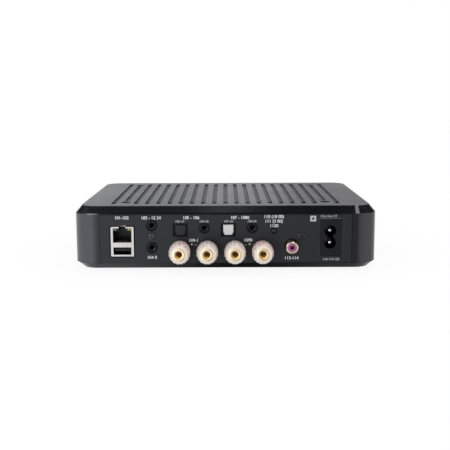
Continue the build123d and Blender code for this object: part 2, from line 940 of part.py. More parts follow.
def usb_tongue():
    """Insulating tongue that carries the USB contacts."""
    face = rear_y + network_proud
    back = face - network_sheet - usb_deep
    half = usb_tongue_width / 2
    low = base_z + usb_tongue_low
    high = base_z + usb_tongue_high
    return block(network_x - half, network_x + half, back, face - usb_tongue_set_back, low, high)


def contact_springs():
    """Contact wires of the network socket, pads of the USB tongue and jack springs."""
    pieces = []
    face = rear_y + network_proud - network_sheet
    mouth_floor = base_z + plug_mouth_low
    mouth_back = face - plug_cavity_deep
    for i in range(plug_wires):
        x = network_x + (i - (plug_wires - 1) / 2) * plug_wire_pitch
        front = (x, face - plug_wire_set_back, mouth_floor + plug_wire_radius + fixed_gap)
        end = (x, mouth_back, mouth_floor + plug_wire_rise)
        path = Line(front, end)
        section = Plane(origin=front, z_dir=path % 0) * Circle(plug_wire_radius)
        past_back = block(x - 1, x + 1, mouth_back - 1, mouth_back, mouth_floor, mouth_floor + 4)
        pieces.append(sweep(section, path) - past_back)
    pad_front = rear_y + network_proud - usb_tongue_set_back - usb_pad_set_back
    under = base_z + usb_tongue_low
    for i in range(usb_pads):
        x = network_x + (i - (usb_pads - 1) / 2) * usb_pad_pitch
        sides = (x - usb_pad_width / 2, x + usb_pad_width / 2)
        pad_y = (pad_front - usb_pad_long, pad_front)
        pieces.append(block(*sides, *pad_y, under - usb_pad_thick, under))
    for x, z, _, _ in jack_places():
        leaf_top = z + jack_slot_top - jack_leaf_down
        y_low, y_high = jack_slot_span()
        half = jack_slot_half - fixed_gap
        pieces.append(block(x - half, x + half, y_low, y_high, leaf_top - jack_leaf_thick, leaf_top))
    return pieces


def jack_places():
    """Each 3.5 mm socket: x and z of its bore, then the low and high z of its body."""
    between = base_z + trigger_body_low
    return [
        (control_jack_x, base_z + trigger_jack_height, between, base_z + trigger_body_high),
        (control_jack_x, base_z + infrared_jack_height, main_z, between),
        (line_in_x, base_z + line_in_height, input_z, base_z + line_body_high),
        (line_out_x, base_z + line_out_height, input_z, base_z + line_body_high),
    ]


def jack_slot_span():
    """Place along Y of the slot that holds a jack's spring."""
    return panel_back_y - jack_deep + jack_slot_ahead, panel_back_y - jack_slot_behind


def audio_jack(place):
    """Moulded 3.5 mm socket: a block on its board with a round nose in the panel."""
    x, z, low, high = place
    face = rear_y + jack_proud
    sides = (x - jack_half_width, x + jack_half_width)
    jack = block(*sides, panel_back_y - jack_deep, panel_back_y, low, high)
    nose = hollow_round(x, z, jack_bore, jack_nose, panel_back_y, face)
    jack += chamfer(nose.faces().sort_by(Axis.Y)[-1].edges(), jack_proud)
    jack -= rod_y(x, z, jack_bore, face - jack_bore_deep, face + 1)
    slot = (x - jack_slot_half, x + jack_slot_half, *jack_slot_span(), z, z + jack_slot_top)
    jack -= block(*slot)
    return jack


def screw_bite_hole(body, x):
    """Hole in a socket block for a panel screw."""
    z = base_z + panel_screw_height
    end = rear_y - panel_screw_long - hole_end_gap
    return body - rod_y(x, z, panel_screw_radius + fixed_gap, end, rear_y)


def optical_frame(x, margin):
    """Square outline in x and z of an optical socket's body."""
    size = (optical_frame_width + 2 * margin, optical_frame_tall + 2 * margin)
    return Pos(x, base_z + optical_height) * Rectangle(*size)


def hinge_place():
    """Place in y and z of a shutter's hinge."""
    y = rear_y - shutter_set_back - shutter_thick / 2
    return y, base_z + optical_height + shutter_tall / 2 - shutter_barrel


def optical_housing(x):
    """Moulded optical socket on a foot, with a keyed cavity and holes for the shutter's pins."""
    face = rear_y - optical_set_back
    rear = rear_y - optical_deep
    body = plate(optical_frame(x, 0), rear, face)
    side = optical_frame_width / 2
    centre_z = base_z + optical_height
    body += block(x - side, x + side, rear, panel_back_y, input_z, centre_z)
    back = rear_y - shutter_set_back - optical_cavity_deep
    body -= plate(optical_outline(x, shutter_gap), back, rear_y + 1)
    sill = shutter_width / 2 - shutter_corner_x
    sill_back = rear_y - shutter_set_back + fixed_gap
    edge_z = centre_z - shutter_tall / 2
    sill_z = (edge_z - shutter_gap - sill_root, edge_z + sill_tall)
    body += block(x - sill, x + sill, sill_back, face, *sill_z)
    y, z = hinge_place()
    reach = shutter_width / 2 + shutter_pin_long + fixed_gap
    return body - rod_x(y, z, shutter_pin + running_gap, x - reach, x + reach)


def optical_shutter(x):
    """Flap that hangs in the mouth of an optical socket on two stub pins."""
    y, z = hinge_place()
    front = y + shutter_thick / 2
    flap = plate(optical_outline(x, 0), front - shutter_thick, front)
    above = base_z + optical_height + shutter_tall
    flap -= block(x - shutter_width, x + shutter_width, y - 2, y + 2, z, above)
    half = shutter_width / 2
    flap += rod_x(y, z, shutter_barrel, x - half, x + half)
    return flap + rod_x(y, z, shutter_pin, x - half - shutter_pin_long, x + half + shutter_pin_long)


def optical_lenses():
    """Clear lens at the back of each optical socket."""
    back = rear_y - shutter_set_back - optical_cavity_deep
    z = base_z + optical_height
    return [rod_y(x, z, lens_radius, back, back + lens_long) for x in (optical_in_x, optical_out_x)]


def hollow_round(x, z, inner, outer, y_low, y_high):
    """Round tube along Y."""
    return rod_y(x, z, outer, y_low, y_high) - rod_y(x, z, inner, y_low - 1, y_high + 1)


def post_stud(x):
    """Plated stud, bored for a 4 mm plug, with a cross hole for bare wire."""
    z = base_z + post_height
    end = rear_y + post_reach - stud_short_of_end
    stud = rod_y(x, z, stud_radius, rear_y - stud_inside, end)
    stud = chamfer(stud.faces().sort_by(Axis.Y)[-1].edges(), stud_bevel)
    stud -= rod_y(x, z, plug_bore, end - plug_bore_long, end + 1)
    mouth = stud.faces().sort_by(Axis.Y)[-1].edges().sort_by(SortBy.RADIUS)[0]
    stud = chamfer(mouth, plug_countersink)
    stud -= rod_x(rear_y + wire_hole_out, z, wire_hole_radius, x - stud_radius - 1, x + stud_radius + 1)
    return stud


def post_collar(x):
    """Insulating collar with a spigot through the panel."""
    z = base_z + post_height
    collar = rod_y(x, z, collar_radius, rear_y, rear_y + collar_thick)
    collar = fillet(collar.faces().sort_by(Axis.Y)[-1].edges(), collar_round)
    collar += rod_y(x, z, collar_spigot, panel_back_y, rear_y)
    return collar - rod_y(x, z, stud_radius + fixed_gap, panel_back_y - 1, rear_y + collar_thick + 1)


def post_nut(x):
    """Hexagon nut behind the panel."""
    z = base_z + post_height
    outline = Pos(x, z) * RegularPolygon(stud_radius + nut_wall, 6, major_radius=False)
    nut = plate(outline, panel_back_y - nut_thick, panel_back_y)
    return nut - rod_y(x, z, stud_radius + fixed_gap, panel_back_y - nut_thick - 1, panel_back_y + 1)


def washer_span():
    """Place along Y of a clamp washer when the knob is tight."""
    low = rear_y + collar_thick + fixed_gap
    return low, low + washer_thick


def post_washer(x):
    """Clamp washer that presses the wire against the collar."""
    inner = stud_radius + running_gap
    return hollow_round(x, base_z + post_height, inner, washer_radius, *washer_span())


def post_knob(x):
    """Knob in two pieces: a plated threaded core and the clear fluted grip moulded on it."""
    z = base_z + post_height
    start = washer_span()[1] + fixed_gap
    end = rear_y + post_reach
    lip_y = end - core_lip
    core = hollow_round(x, z, stud_radius + running_gap, core_radius, start, lip_y)
    core += hollow_round(x, z, core_mouth, core_radius, lip_y, end)
    mouth = core.faces().sort_by(Axis.Y)[-1].edges().sort_by(SortBy.RADIUS)[0]
    core = chamfer(mouth, plug_countersink)
    long = end - start - 2 * grip_set_back
    cone = Cone(grip_base_radius, grip_end_radius, long)
    grip = Pos(x, (start + end) / 2, z) * Rot(-90, 0, 0) * cone
    grip -= rod_y(x, z, core_radius + fixed_gap, start - 1, end + 1)
    flute_circle = grip_base_radius + flute_radius - flute_in
    for place in PolarLocations(flute_circle, flute_count):
        dx, dz, _ = place.position
        grip -= rod_y(x + dx, z + dz, flute_radius, start - 1, end + 1)
    return [core, grip]


def phono_parts():
    """Phono socket: block on the board, plated shell, coloured insulator and centre contact."""
    z = base_z + phono_height
    block_front = panel_back_y
    block_back = panel_back_y - phono_block_deep
    end = rear_y + phono_reach
    inner_end = panel_back_y - phono_inside
    block_sides = (phono_block_left, phono_block_right)
    housing = block(*block_sides, block_back, block_front, main_z, base_z + phono_block_high)
    boss_y = rear_y + phono_boss_proud
    inner_radius = phono_shell - phono_shell_step
    housing += rod_y(phono_x, z, phono_boss, block_front, boss_y)
    housing -= rod_y(phono_x, z, inner_radius + fixed_gap, inner_end, boss_y + 1)
    housing = screw_bite_hole(housing, panel_screw_xs[1])
    bore_of_shell = phono_shell - phono_shell_thin
    shell = rod_y(phono_x, z, phono_shell, boss_y, end)
    shell = chamfer(shell.faces().sort_by(Axis.Y)[-1].edges(), phono_mouth_bevel)
    shell += rod_y(phono_x, z, inner_radius, inner_end, boss_y)
    shell -= rod_y(phono_x, z, bore_of_shell, inner_end - 1, end + 1)
    insulator = rod_y(phono_x, z, bore_of_shell - fixed_gap, inner_end, end - phono_mouth_bevel)
    insulator -= rod_y(phono_x, z, phono_bore, end - phono_lip - 1, end)
    tube = phono_bore + phono_contact_thin
    insulator -= rod_y(phono_x, z, tube + fixed_gap, inner_end - 1, end - phono_lip)
    contact = rod_y(phono_x, z, tube, inner_end, end - phono_lip - fixed_gap)
    contact -= rod_y(phono_x, z, phono_bore, end - phono_bore_long, end)
    return housing, shell, insulator, contact


def inlet_outline(margin):
    """Outline in x and z of the mains inlet's face."""
    size = (inlet_width + 2 * margin, inlet_high - inlet_low + 2 * margin)
    return Pos(inlet_x, base_z + (inlet_low + inlet_high) / 2) * Rectangle(*size)


def inlet_pin_heights():
    """Heights of the two mains pins."""
    middle = base_z + inlet_middle
    return middle - inlet_pin_pitch / 2, middle + inlet_pin_pitch / 2


def mains_inlet():
    """Mains inlet body with a figure-eight cavity."""
    face = rear_y + inlet_proud
    body = plate(inlet_outline(0), rear_y - inlet_deep, face)
    body = chamfer(body.faces().sort_by(Axis.Y)[-1].edges(), inlet_edge_bevel)
    half = inlet_width / 2 + inlet_flange
    flange_y = (panel_back_y - inlet_flange_thick, panel_back_y)
    body += block(inlet_x - half, inlet_x + half, *flange_y, base_z + inlet_low, base_z + inlet_high)
    floor_y = face - inlet_cavity_deep
    for z in inlet_pin_heights():
        body -= rod_y(inlet_x, z, inlet_lobe, floor_y, face + 1)
    middle = base_z + inlet_middle
    waist = inlet_waist / 2
    body -= block(inlet_x - waist, inlet_x + waist, floor_y, face + 1, middle - waist, middle + waist)
    for z in inlet_pin_heights():
        body -= rod_y(inlet_x, z, inlet_pin_radius + fixed_gap, rear_y - inlet_deep - 1, face)
    return body


def mains_pins():
    """Two round pins, each with a flat lug down to the supply board."""
    floor_y = rear_y + inlet_proud - inlet_cavity_deep
    back = rear_y - inlet_deep
    lug_y = (back - inlet_lug_thick, back)
    half = inlet_lug_half
    pins = []
    for z, side in zip(inlet_pin_heights(), (-1, 1)):
        pin = rod_y(inlet_x, z, inlet_pin_radius, back, floor_y + inlet_pin_long)
        tip = pin.faces().sort_by(Axis.Y)[-1].edges()
        pin = fillet(tip, inlet_pin_radius * 0.6)
        pin += rod_y(inlet_x, z, inlet_pin_shoulder, floor_y, floor_y + inlet_pin_shoulder_long)
        lug_x = inlet_x + side * inlet_lug_aside
        pin += block(lug_x - half, lug_x + half, *lug_y, main_z, z + half)
        pin += block(min(inlet_x, lug_x), max(inlet_x, lug_x), *lug_y, z - half, z + half)
        pins.append(pin)
    return pins


def on_board(x, y, size, low=0.0):
    """Block of the given width, depth and height, centred in plan over a board's top."""
    wide, deep, tall = size
    sides = (x - wide / 2, x + wide / 2)
    return block(*sides, y - deep / 2, y + deep / 2, main_z + low, main_z + low + tall)


def supply_transformer():
    """Mains transformer: a ferrite core with a middle leg inside a taped winding."""
    x = (supply_board_left + supply_board_right) / 2
    y = middle_y - transformer_ahead
    wide, deep, tall = transformer_core
    window_wide, window_tall = transformer_window
    window_low = (tall - window_tall) / 2
    core = on_board(x, y, transformer_core)
    core -= on_board(x, y, (window_wide, deep + 1, window_tall), window_low)
    core += on_board(x, y, (transformer_leg, deep, tall))
    coil = on_board(x, y, transformer_coil, (tall - transformer_coil[2]) / 2)
    leg_hole = transformer_leg + 2 * fixed_gap
    coil -= on_board(x, y, (leg_hole, deep + 2 * fixed_gap, tall))
    return [core, coil]


def supply_heat_sink():
    """Upright finned plate beside the transformer."""
    x = supply_board_right - supply_sink_in
    thick, long, tall = supply_sink_plate
    first = middle_y + supply_sink_behind
    sink = on_board(x, first + long / 2, supply_sink_plate)
    row = (supply_sink_fins - 1) * supply_sink_pitch
    for i in range(supply_sink_fins):
        y = first + (long - row) / 2 + i * supply_sink_pitch
        half = supply_sink_fin / 2
        sink += block(x - supply_sink_reach, x, y - half, y + half, main_z, main_z + tall)
    return sink


def capacitors():
    """Upright electrolytic capacitors on the supply board and the main board."""
    places = []
    for behind, radius, tall in supply_cans:
        places.append((supply_board_left + supply_can_in, middle_y + behind, radius, tall))
    for i in range(main_can_count):
        x = main_board_left + main_can_in + i * main_can_pitch
        places.append((x, main_board_front + main_can_behind, *main_can))
    cans = []
    for x, y, radius, tall in places:
        can = rod_z(x, y, radius, main_z, main_z + tall)
        cans.append(fillet(can.faces().sort_by(Axis.Z)[-1].edges(), can_round))
    return cans


def amplifier_chip():
    """Flat power amplifier chip under its heat sink."""
    return on_board(0, main_board_front + amplifier_behind, amplifier_size)


def amplifier_heat_sink():
    """Finned aluminium block that sits on the chip."""
    wide, deep, tall = sink_size
    y = main_board_front + amplifier_behind
    seat = amplifier_size[2]
    sink = on_board(0, y, (wide, deep, sink_base), seat)
    for i in range(sink_fins):
        x = (i - (sink_fins - 1) / 2) * sink_fin_pitch
        sink += on_board(x, y, (sink_fin_thick, deep, tall), seat)
    return sink


def output_inductors():
    """Four wound chokes between the amplifier chip and the terminals."""
    chokes = []
    for x in post_xs():
        choke = on_board(x, rear_y - choke_behind_panel, (choke_side, choke_side, choke_tall))
        chokes.append(fillet(choke.edges().filter_by(Axis.Z), choke_round))
    return chokes


def processor_shield():
    """Folded tin can over the network processor."""
    wide, deep, tall = shield_size
    y = main_board_front + shield_behind
    inside = (wide - 2 * shield_sheet, deep - 2 * shield_sheet, tall)
    return on_board(shield_x, y, shield_size) - on_board(shield_x, y, inside, -shield_sheet)


def processor_chip():
    """Network processor under the shield."""
    return on_board(shield_x, main_board_front + shield_behind, processor_size)


os.makedirs("parts", exist_ok=True)

save("top_cover", top_cover())
save("bottom_tray", bottom_tray())
save("rear_panel", rear_panel())
save("front_fascia", front_fascia())
save("status_light", status_light())
save("ir_window", ir_window())
save("rubber_feet", Compound(rubber_feet()))
save("cover_screws", Compound(cover_screws()))
save("panel_screws", Compound(panel_screws()))
save("board_screws", Compound(board_screws()))

save("main_board", main_board())
save("supply_board", supply_board())
save("input_board", input_board())
save("front_board", front_board())
save("board_spacers", Compound(board_spacers()))
save("tact_switches", Compound(tact_switches()))
save("supply_transformer", Compound(supply_transformer()))
save("supply_heat_sink", supply_heat_sink())
save("capacitors", Compound(capacitors()))
save("amplifier_chip", amplifier_chip())
save("amplifier_heat_sink", amplifier_heat_sink())
save("output_inductors", Compound(output_inductors()))
save("processor_shield", processor_shield())
save("processor_chip", processor_chip())

save("network_usb_shell", network_usb_shell())
save("network_insert", network_insert())
save("network_lights", Compound(network_lights()))
save("usb_tongue", usb_tongue())
save("contact_springs", Compound(contact_springs()))

jack_names = ("trigger_jack", "infrared_jack", "line_in_jack", "line_out_jack")
for jack_name, jack_place in zip(jack_names, jack_places()):
    jack_body = audio_jack(jack_place)
    if jack_name == "trigger_jack":
        jack_body = screw_bite_hole(jack_body, panel_screw_xs[0])
    save(jack_name, jack_body)

save("optical_in_housing", optical_housing(optical_in_x))
save("optical_out_housing", optical_housing(optical_out_x))
save("optical_in_shutter", optical_shutter(optical_in_x))
save("optical_out_shutter", optical_shutter(optical_out_x))
save("optical_lenses", Compound(optical_lenses()))

save("post_studs", Compound([post_stud(x) for x in post_xs()]))
save("post_collars", Compound([post_collar(x) for x in post_xs()]))
save("post_nuts", Compound([post_nut(x) for x in post_xs()]))
for number, post_x in enumerate(post_xs(), start=1):
    save(f"post_{number}_washer", post_washer(post_x))
    save(f"post_{number}_knob", Compound(post_knob(post_x)))

for phono_name, phono_part in zip(("housing", "shell", "insulator", "contact"), phono_parts()):
    save(f"phono_{phono_name}", phono_part)

save("mains_inlet", mains_inlet())
save("mains_pins", Compound(mains_pins()))

save("reset_button", reset_button())
for button_name, button_x in zip(("volume_down", "play", "volume_up"), front_button_xs()):
    save(f"{button_name}_button", front_button(button_x))
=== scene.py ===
import json
import math

import bmesh
import bpy
from mathutils import Euler, Matrix, Vector


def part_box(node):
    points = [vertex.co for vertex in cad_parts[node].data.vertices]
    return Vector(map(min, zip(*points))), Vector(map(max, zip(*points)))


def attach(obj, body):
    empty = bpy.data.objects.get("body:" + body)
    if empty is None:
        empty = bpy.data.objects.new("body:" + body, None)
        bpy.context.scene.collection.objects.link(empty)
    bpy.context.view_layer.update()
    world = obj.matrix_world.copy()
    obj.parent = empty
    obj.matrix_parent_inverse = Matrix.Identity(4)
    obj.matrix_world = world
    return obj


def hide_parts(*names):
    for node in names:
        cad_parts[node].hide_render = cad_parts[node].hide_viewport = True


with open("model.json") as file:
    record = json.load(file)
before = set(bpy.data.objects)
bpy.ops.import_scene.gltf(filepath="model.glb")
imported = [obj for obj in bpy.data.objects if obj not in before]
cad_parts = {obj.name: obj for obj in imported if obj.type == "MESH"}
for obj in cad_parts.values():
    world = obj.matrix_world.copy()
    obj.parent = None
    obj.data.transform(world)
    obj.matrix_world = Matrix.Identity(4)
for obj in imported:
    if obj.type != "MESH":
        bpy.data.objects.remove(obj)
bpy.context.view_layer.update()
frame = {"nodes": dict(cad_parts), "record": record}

# Camera
# The photograph was taken from behind the amplifier, a little above the lid and aimed
# slightly down, with a longish lens. Its frame is square.
photo_side = 450
focal_pixels = 841.5
sensor_mm = 36.0
camera_pitch = 8.94
camera_roll = -0.19
scene = bpy.context.scene
camera_data = bpy.data.cameras.new("camera")
camera_data.sensor_width = sensor_mm
camera_data.lens = focal_pixels / photo_side * sensor_mm
camera_data.clip_start = 0.01
camera = bpy.data.objects.new("camera", camera_data)
camera.location = (0.0004, 0.6486, 0.12406)
level = Euler((math.radians(90.0 - camera_pitch), 0.0, math.radians(180.0))).to_matrix()
camera.rotation_euler = (level @ Matrix.Rotation(math.radians(camera_roll), 3, "Z")).to_euler()
scene.collection.objects.link(camera)
scene.camera = camera


# Lid and tray
# Two black mouldings, screwed together: the lid carries the walls and the lengthwise
# grooves, the tray closes the underside. Both have a fine spark-etched grain.
def new_material(name):
    """A material with only its shader, and its tree and shader."""
    material = bpy.data.materials.new(name)
    material.use_nodes = True
    tree = material.node_tree
    tree.nodes.clear()
    shader = tree.nodes.new("ShaderNodeBsdfPrincipled")
    output = tree.nodes.new("ShaderNodeOutputMaterial")
    tree.links.new(shader.outputs["BSDF"], output.inputs["Surface"])
    return material, tree, shader


def feed(tree, value, socket):
    """Wire an output to a socket, or set the socket to a plain number or a colour."""
    if isinstance(value, bpy.types.NodeSocket):
        tree.links.new(value, socket)
    else:
        socket.default_value = (*value, 1.0) if isinstance(value, tuple) else value


def maths(tree, kind, first, second=0.0):
    """Value of a math node."""
    node = tree.nodes.new("ShaderNodeMath")
    node.operation = kind
    feed(tree, first, node.inputs[0])
    feed(tree, second, node.inputs[1])
    return node.outputs["Value"]


def over(tree, value, limit):
    """Mask of where a value is over a limit."""
    return maths(tree, "GREATER_THAN", value, limit)


def under(tree, value, limit):
    """Mask of where a value is under a limit."""
    return maths(tree, "LESS_THAN", value, limit)


def both(tree, *masks):
    """Mask of where all the masks hold."""
    result = masks[0]
    for mask in masks[1:]:
        result = maths(tree, "MULTIPLY", result, mask)
    return result


def off(tree, value, middle):
    """How far a value lies from a middle, to either side."""
    return maths(tree, "ABSOLUTE", maths(tree, "SUBTRACT", value, middle))


def reach(tree, first, second):
    """Distance covered by two steps at right angles."""
    squares = [maths(tree, "MULTIPLY", step, step) for step in (first, second)]
    return maths(tree, "SQRT", maths(tree, "ADD", *squares))


def spread(tree, value, low, high, to_low=0.0, to_high=1.0):
    """Value brought from one range to another, and held inside it."""
    node = tree.nodes.new("ShaderNodeMapRange")
    places = ("Value", "From Min", "From Max", "To Min", "To Max")
    for label, given in zip(places, (value, low, high, to_low, to_high)):
        feed(tree, given, node.inputs[label])
    return node.outputs["Result"]


def chosen(tree, mask, plain, masked):
    """One value, and another where a mask holds."""
    return spread(tree, mask, 0.0, 1.0, plain, masked)


def blended(tree, factor, first, second):
    """Colour between two colours."""
    node = tree.nodes.new("ShaderNodeMix")
    node.data_type = "RGBA"
    feed(tree, factor, node.inputs[0])
    feed(tree, first, node.inputs[6])
    feed(tree, second, node.inputs[7])
    return node.outputs[2]


def noise(tree, vector, scale, detail):
    """Value of a noise texture."""
    node = tree.nodes.new("ShaderNodeTexNoise")
    feed(tree, vector, node.inputs["Vector"])
    feed(tree, scale, node.inputs["Scale"])
    node.inputs["Detail"].default_value = detail
    return node.outputs[0]


def place_of(tree):
    """Coordinates on the object, in metres."""
    return tree.nodes.new("ShaderNodeTexCoord").outputs["Object"]


def grain(tree, scale, detail):
    """Value of a noise texture laid over the object."""
    return noise(tree, place_of(tree), scale, detail)


def parts_of(tree, vector):
    """The three coordinates of a vector."""
    node = tree.nodes.new("ShaderNodeSeparateXYZ")
    feed(tree, vector, node.inputs[0])
    return node.outputs


def facing(tree):
    """Direction that the surface faces."""
    return parts_of(tree, tree.nodes.new("ShaderNodeNewGeometry").outputs["Normal"])


def new_group(name, inputs):
    """Node group that puts out a colour, a roughness and a height, with its two end nodes' sockets."""
    group = bpy.data.node_groups.new(name, "ShaderNodeTree")
    for label, value in inputs.items():
        kind = "NodeSocketColor" if isinstance(value, tuple) else "NodeSocketFloat"
        socket = group.interface.new_socket(label, in_out="INPUT", socket_type=kind)
        socket.default_value = (*value, 1.0) if isinstance(value, tuple) else value
    for label in ("Colour", "Roughness", "Height"):
        kind = "NodeSocketColor" if label == "Colour" else "NodeSocketFloat"
        group.interface.new_socket(label, in_out="OUTPUT", socket_type=kind)
    return group, group.nodes.new("NodeGroupInput").outputs, group.nodes.new("NodeGroupOutput").inputs


def grown(tree, group, values):
    """A group placed in a material with its own values, and its outputs."""
    node = tree.nodes.new("ShaderNodeGroup")
    node.node_tree = group
    for label, value in values.items():
        feed(tree, value, node.inputs[label])
    return node.outputs


def bumped(tree, height, depth):
    """Normal of a bump that is depth metres deep."""
    node = tree.nodes.new("ShaderNodeBump")
    node.inputs["Distance"].default_value = depth
    feed(tree, height, node.inputs["Height"])
    return node.outputs["Normal"]


def coat(tree, shader, skin, depth):
    """Give a shader the colour, roughness and grain that a group puts out."""
    feed(tree, skin["Colour"], shader.inputs["Base Color"])
    feed(tree, skin["Roughness"], shader.inputs["Roughness"])
    feed(tree, bumped(tree, skin["Height"], depth), shader.inputs["Normal"])


skin_group, given, out = new_group(
    "moulded_skin",
    {"Colour": (0.01, 0.01, 0.01), "Roughness": 0.4, "Patchiness": 0.06, "Grain": 2200.0, "Dust": 0.02})
patches = maths(skin_group, "SUBTRACT", grain(skin_group, 26.0, 3.0), 0.5)
patches = maths(skin_group, "MULTIPLY", patches, given["Patchiness"])
feed(skin_group, maths(skin_group, "ADD", given["Roughness"], patches), out["Roughness"])
specks = spread(skin_group, grain(skin_group, 900.0, 1.0), 0.62, 0.75)
upward = maths(skin_group, "MAXIMUM", facing(skin_group)["Z"], 0.0)
dusty = both(skin_group, specks, upward, given["Dust"])
feed(skin_group, blended(skin_group, dusty, given["Colour"], (0.35, 0.34, 0.32)), out["Colour"])
feed(skin_group, grain(skin_group, given["Grain"], 3.0), out["Height"])


skin_deep = 0.00002


def moulded(name, colour, roughness, depth=skin_deep, specular=0.5, **values):
    """Moulded plastic of this colour and gloss, with its grain as a bump."""
    material, tree, shader = new_material(name)
    coat(tree, shader, grown(tree, skin_group, {"Colour": colour, "Roughness": roughness, **values}), depth)
    shader.inputs["Specular IOR Level"].default_value = specular
    return material


def finished(material, *names):
    """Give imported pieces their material."""
    for name in names:
        for slot in frame["nodes"][name].material_slots:
            slot.material = material


casing_colour = (0.0070, 0.0074, 0.0085)
sunk_colour = (0.020, 0.020, 0.0215)
lit_groove_end_colour = (0.13, 0.13, 0.14)
corner_highlight_colour = (0.20, 0.21, 0.23)
painted_shade_colour = (0.002, 0.002, 0.002)
lid_low, lid_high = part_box("top_cover")
groove_below = 0.0003
field_in = 0.012
bevel_up, bevel_up_either = 0.62, 0.25
end_back = 0.3
recess_x, recess_y, recess_reach = 0.072, 0.055, 0.0037
bevel_foot = 0.0408
shade_x, shade_y, shade_high = 0.0795, 0.0675, 0.0416
highlight_inner, highlight_inner_full, highlight_outer_full, highlight_outer = 0.0880, 0.0915, 0.0955, 0.0985
highlight_low, highlight_high = bevel_foot - 0.0002, bevel_foot + 0.0005
lid, lid_tree, lid_shader = new_material("lid_grain")
lid_place = parts_of(lid_tree, place_of(lid_tree))
lid_way = facing(lid_tree)
off_x = maths(lid_tree, "ABSOLUTE", lid_place["X"])
off_y = off(lid_tree, lid_place["Y"], (lid_low.y + lid_high.y) / 2)
sunk = both(lid_tree, under(lid_tree, off_x, lid_high.x - field_in),
            under(lid_tree, off_y, (lid_high.y - lid_low.y) / 2 - field_in),
            under(lid_tree, lid_place["Z"], lid_high.z - groove_below))
sloping = under(lid_tree, off(lid_tree, lid_way["Z"], bevel_up), bevel_up_either)
# Painted shade: the screw recesses in the grooves and a band of the lid just above the socket panel are painted
# near black, with little shine.
from_recess = reach(lid_tree, maths(lid_tree, "SUBTRACT", off_x, recess_x),
                    maths(lid_tree, "SUBTRACT", off_y, recess_y))
in_recess = both(lid_tree, sunk, under(lid_tree, from_recess, recess_reach))
over_panel = both(lid_tree, under(lid_tree, off_x, shade_x), over(lid_tree, lid_place["Y"], shade_y),
                  over(lid_tree, lid_place["Z"], bevel_foot), under(lid_tree, lid_place["Z"], shade_high))
shaded = maths(lid_tree, "MAXIMUM", in_recess, over_panel)
# Painted light: the end walls at the front of the grooves, which face the rear, are painted lighter, as if lit.
lit_groove_end = both(lid_tree, sunk, over(lid_tree, lid_way["Y"], end_back),
                  under(lid_tree, lid_place["Y"], 0.0))
# Painted highlight: a thin lighter line along the top of the rounded wall at one rear corner of the lid, just
# under the bevel.
painted_corner_highlight = both(lid_tree, spread(lid_tree, lid_place["X"], highlight_inner, highlight_inner_full),
                     spread(lid_tree, lid_place["X"], highlight_outer, highlight_outer_full),
                     under(lid_tree, lid_place["Z"], highlight_high), over(lid_tree, lid_place["Z"], highlight_low),
                     over(lid_tree, lid_place["Y"], 0.0))
lid_colour = casing_colour
for mask, colour in ((sunk, sunk_colour), (lit_groove_end, lit_groove_end_colour), (shaded, painted_shade_colour),
                     (painted_corner_highlight, corner_highlight_colour)):
    lid_colour = blended(lid_tree, mask, lid_colour, colour)
gloss = chosen(lid_tree, sloping, 0.26, 0.04)
gloss = chosen(lid_tree, sunk, gloss, 0.36)
gloss = chosen(lid_tree, shaded, gloss, 0.7)
coat(lid_tree, lid_shader, grown(lid_tree, skin_group, {"Colour": lid_colour, "Roughness": gloss}), skin_deep)
shine = chosen(lid_tree, shaded, chosen(lid_tree, sunk, 0.5, 0.45), 0.05)
feed(lid_tree, shine, lid_shader.inputs["Specular IOR Level"])
finished(lid, "top_cover")
finished(moulded("tray_grain", casing_colour, 0.16), "bottom_tray")


# Socket panel
# A flat plate in the same black plastic with a finer, duller grain. It drops into the
# opening in the lid's rear wall, and screws hold it to the socket blocks.
MM = 0.001


def span(node):
    """Lowest and highest corner of a node, in millimetres."""
    low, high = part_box(node)
    return low / MM, high / MM


def port(name):
    """Place of a mount, in millimetres."""
    mount = next(entry for entry in frame["record"]["mounts"] if entry["name"] == name)
    return Vector(mount["pos_m"]) / MM


reset_low, reset_high = span("reset_button")
reset_x, reset_z = (reset_low.x + reset_high.x) / 2, (reset_low.z + reset_high.z) / 2
# Painted shade: a ring round the reset button and a frame round each optical socket are painted near black on
# the panel, with almost no shine.
reset_shade_radius = 2.12
optical_shade_x, optical_shade_z = 5.2, 4.7
panel, panel_tree, panel_shader = new_material("panel_grain")
panel_place = parts_of(panel_tree, place_of(panel_tree))
from_reset = reach(panel_tree, maths(panel_tree, "SUBTRACT", panel_place["X"], reset_x * MM),
                   maths(panel_tree, "SUBTRACT", panel_place["Z"], reset_z * MM))
painted_port_shade = under(panel_tree, from_reset, reset_shade_radius * MM)
for name in ("optical_in_port", "optical_out_port"):
    mouth = port(name) * MM
    aside = under(panel_tree, off(panel_tree, panel_place["X"], mouth.x), optical_shade_x * MM)
    aloft = under(panel_tree, off(panel_tree, panel_place["Z"], mouth.z), optical_shade_z * MM)
    painted_port_shade = maths(panel_tree, "MAXIMUM", painted_port_shade, both(panel_tree, aside, aloft))
panel_skin = grown(panel_tree, skin_group, {
    "Colour": blended(panel_tree, painted_port_shade, (0.0082, 0.0087, 0.0102), (0.001, 0.001, 0.001)),
    "Roughness": 0.42, "Grain": 3600.0, "Dust": 0.01})
coat(panel_tree, panel_shader, panel_skin, 0.00001)
feed(panel_tree, chosen(panel_tree, painted_port_shade, 0.4, 0.02), panel_shader.inputs["Specular IOR Level"])
finished(panel, "rear_panel")


# Printed marks
# White and grey ink, screen printed on the panel: plain numbers beside the sockets, the
# signs of the loudspeaker terminals and a plain square.
sharp_angle = math.radians(32.0)
ink_thick = 0.03
ink_swell = 0.02
capital_share = 0.7


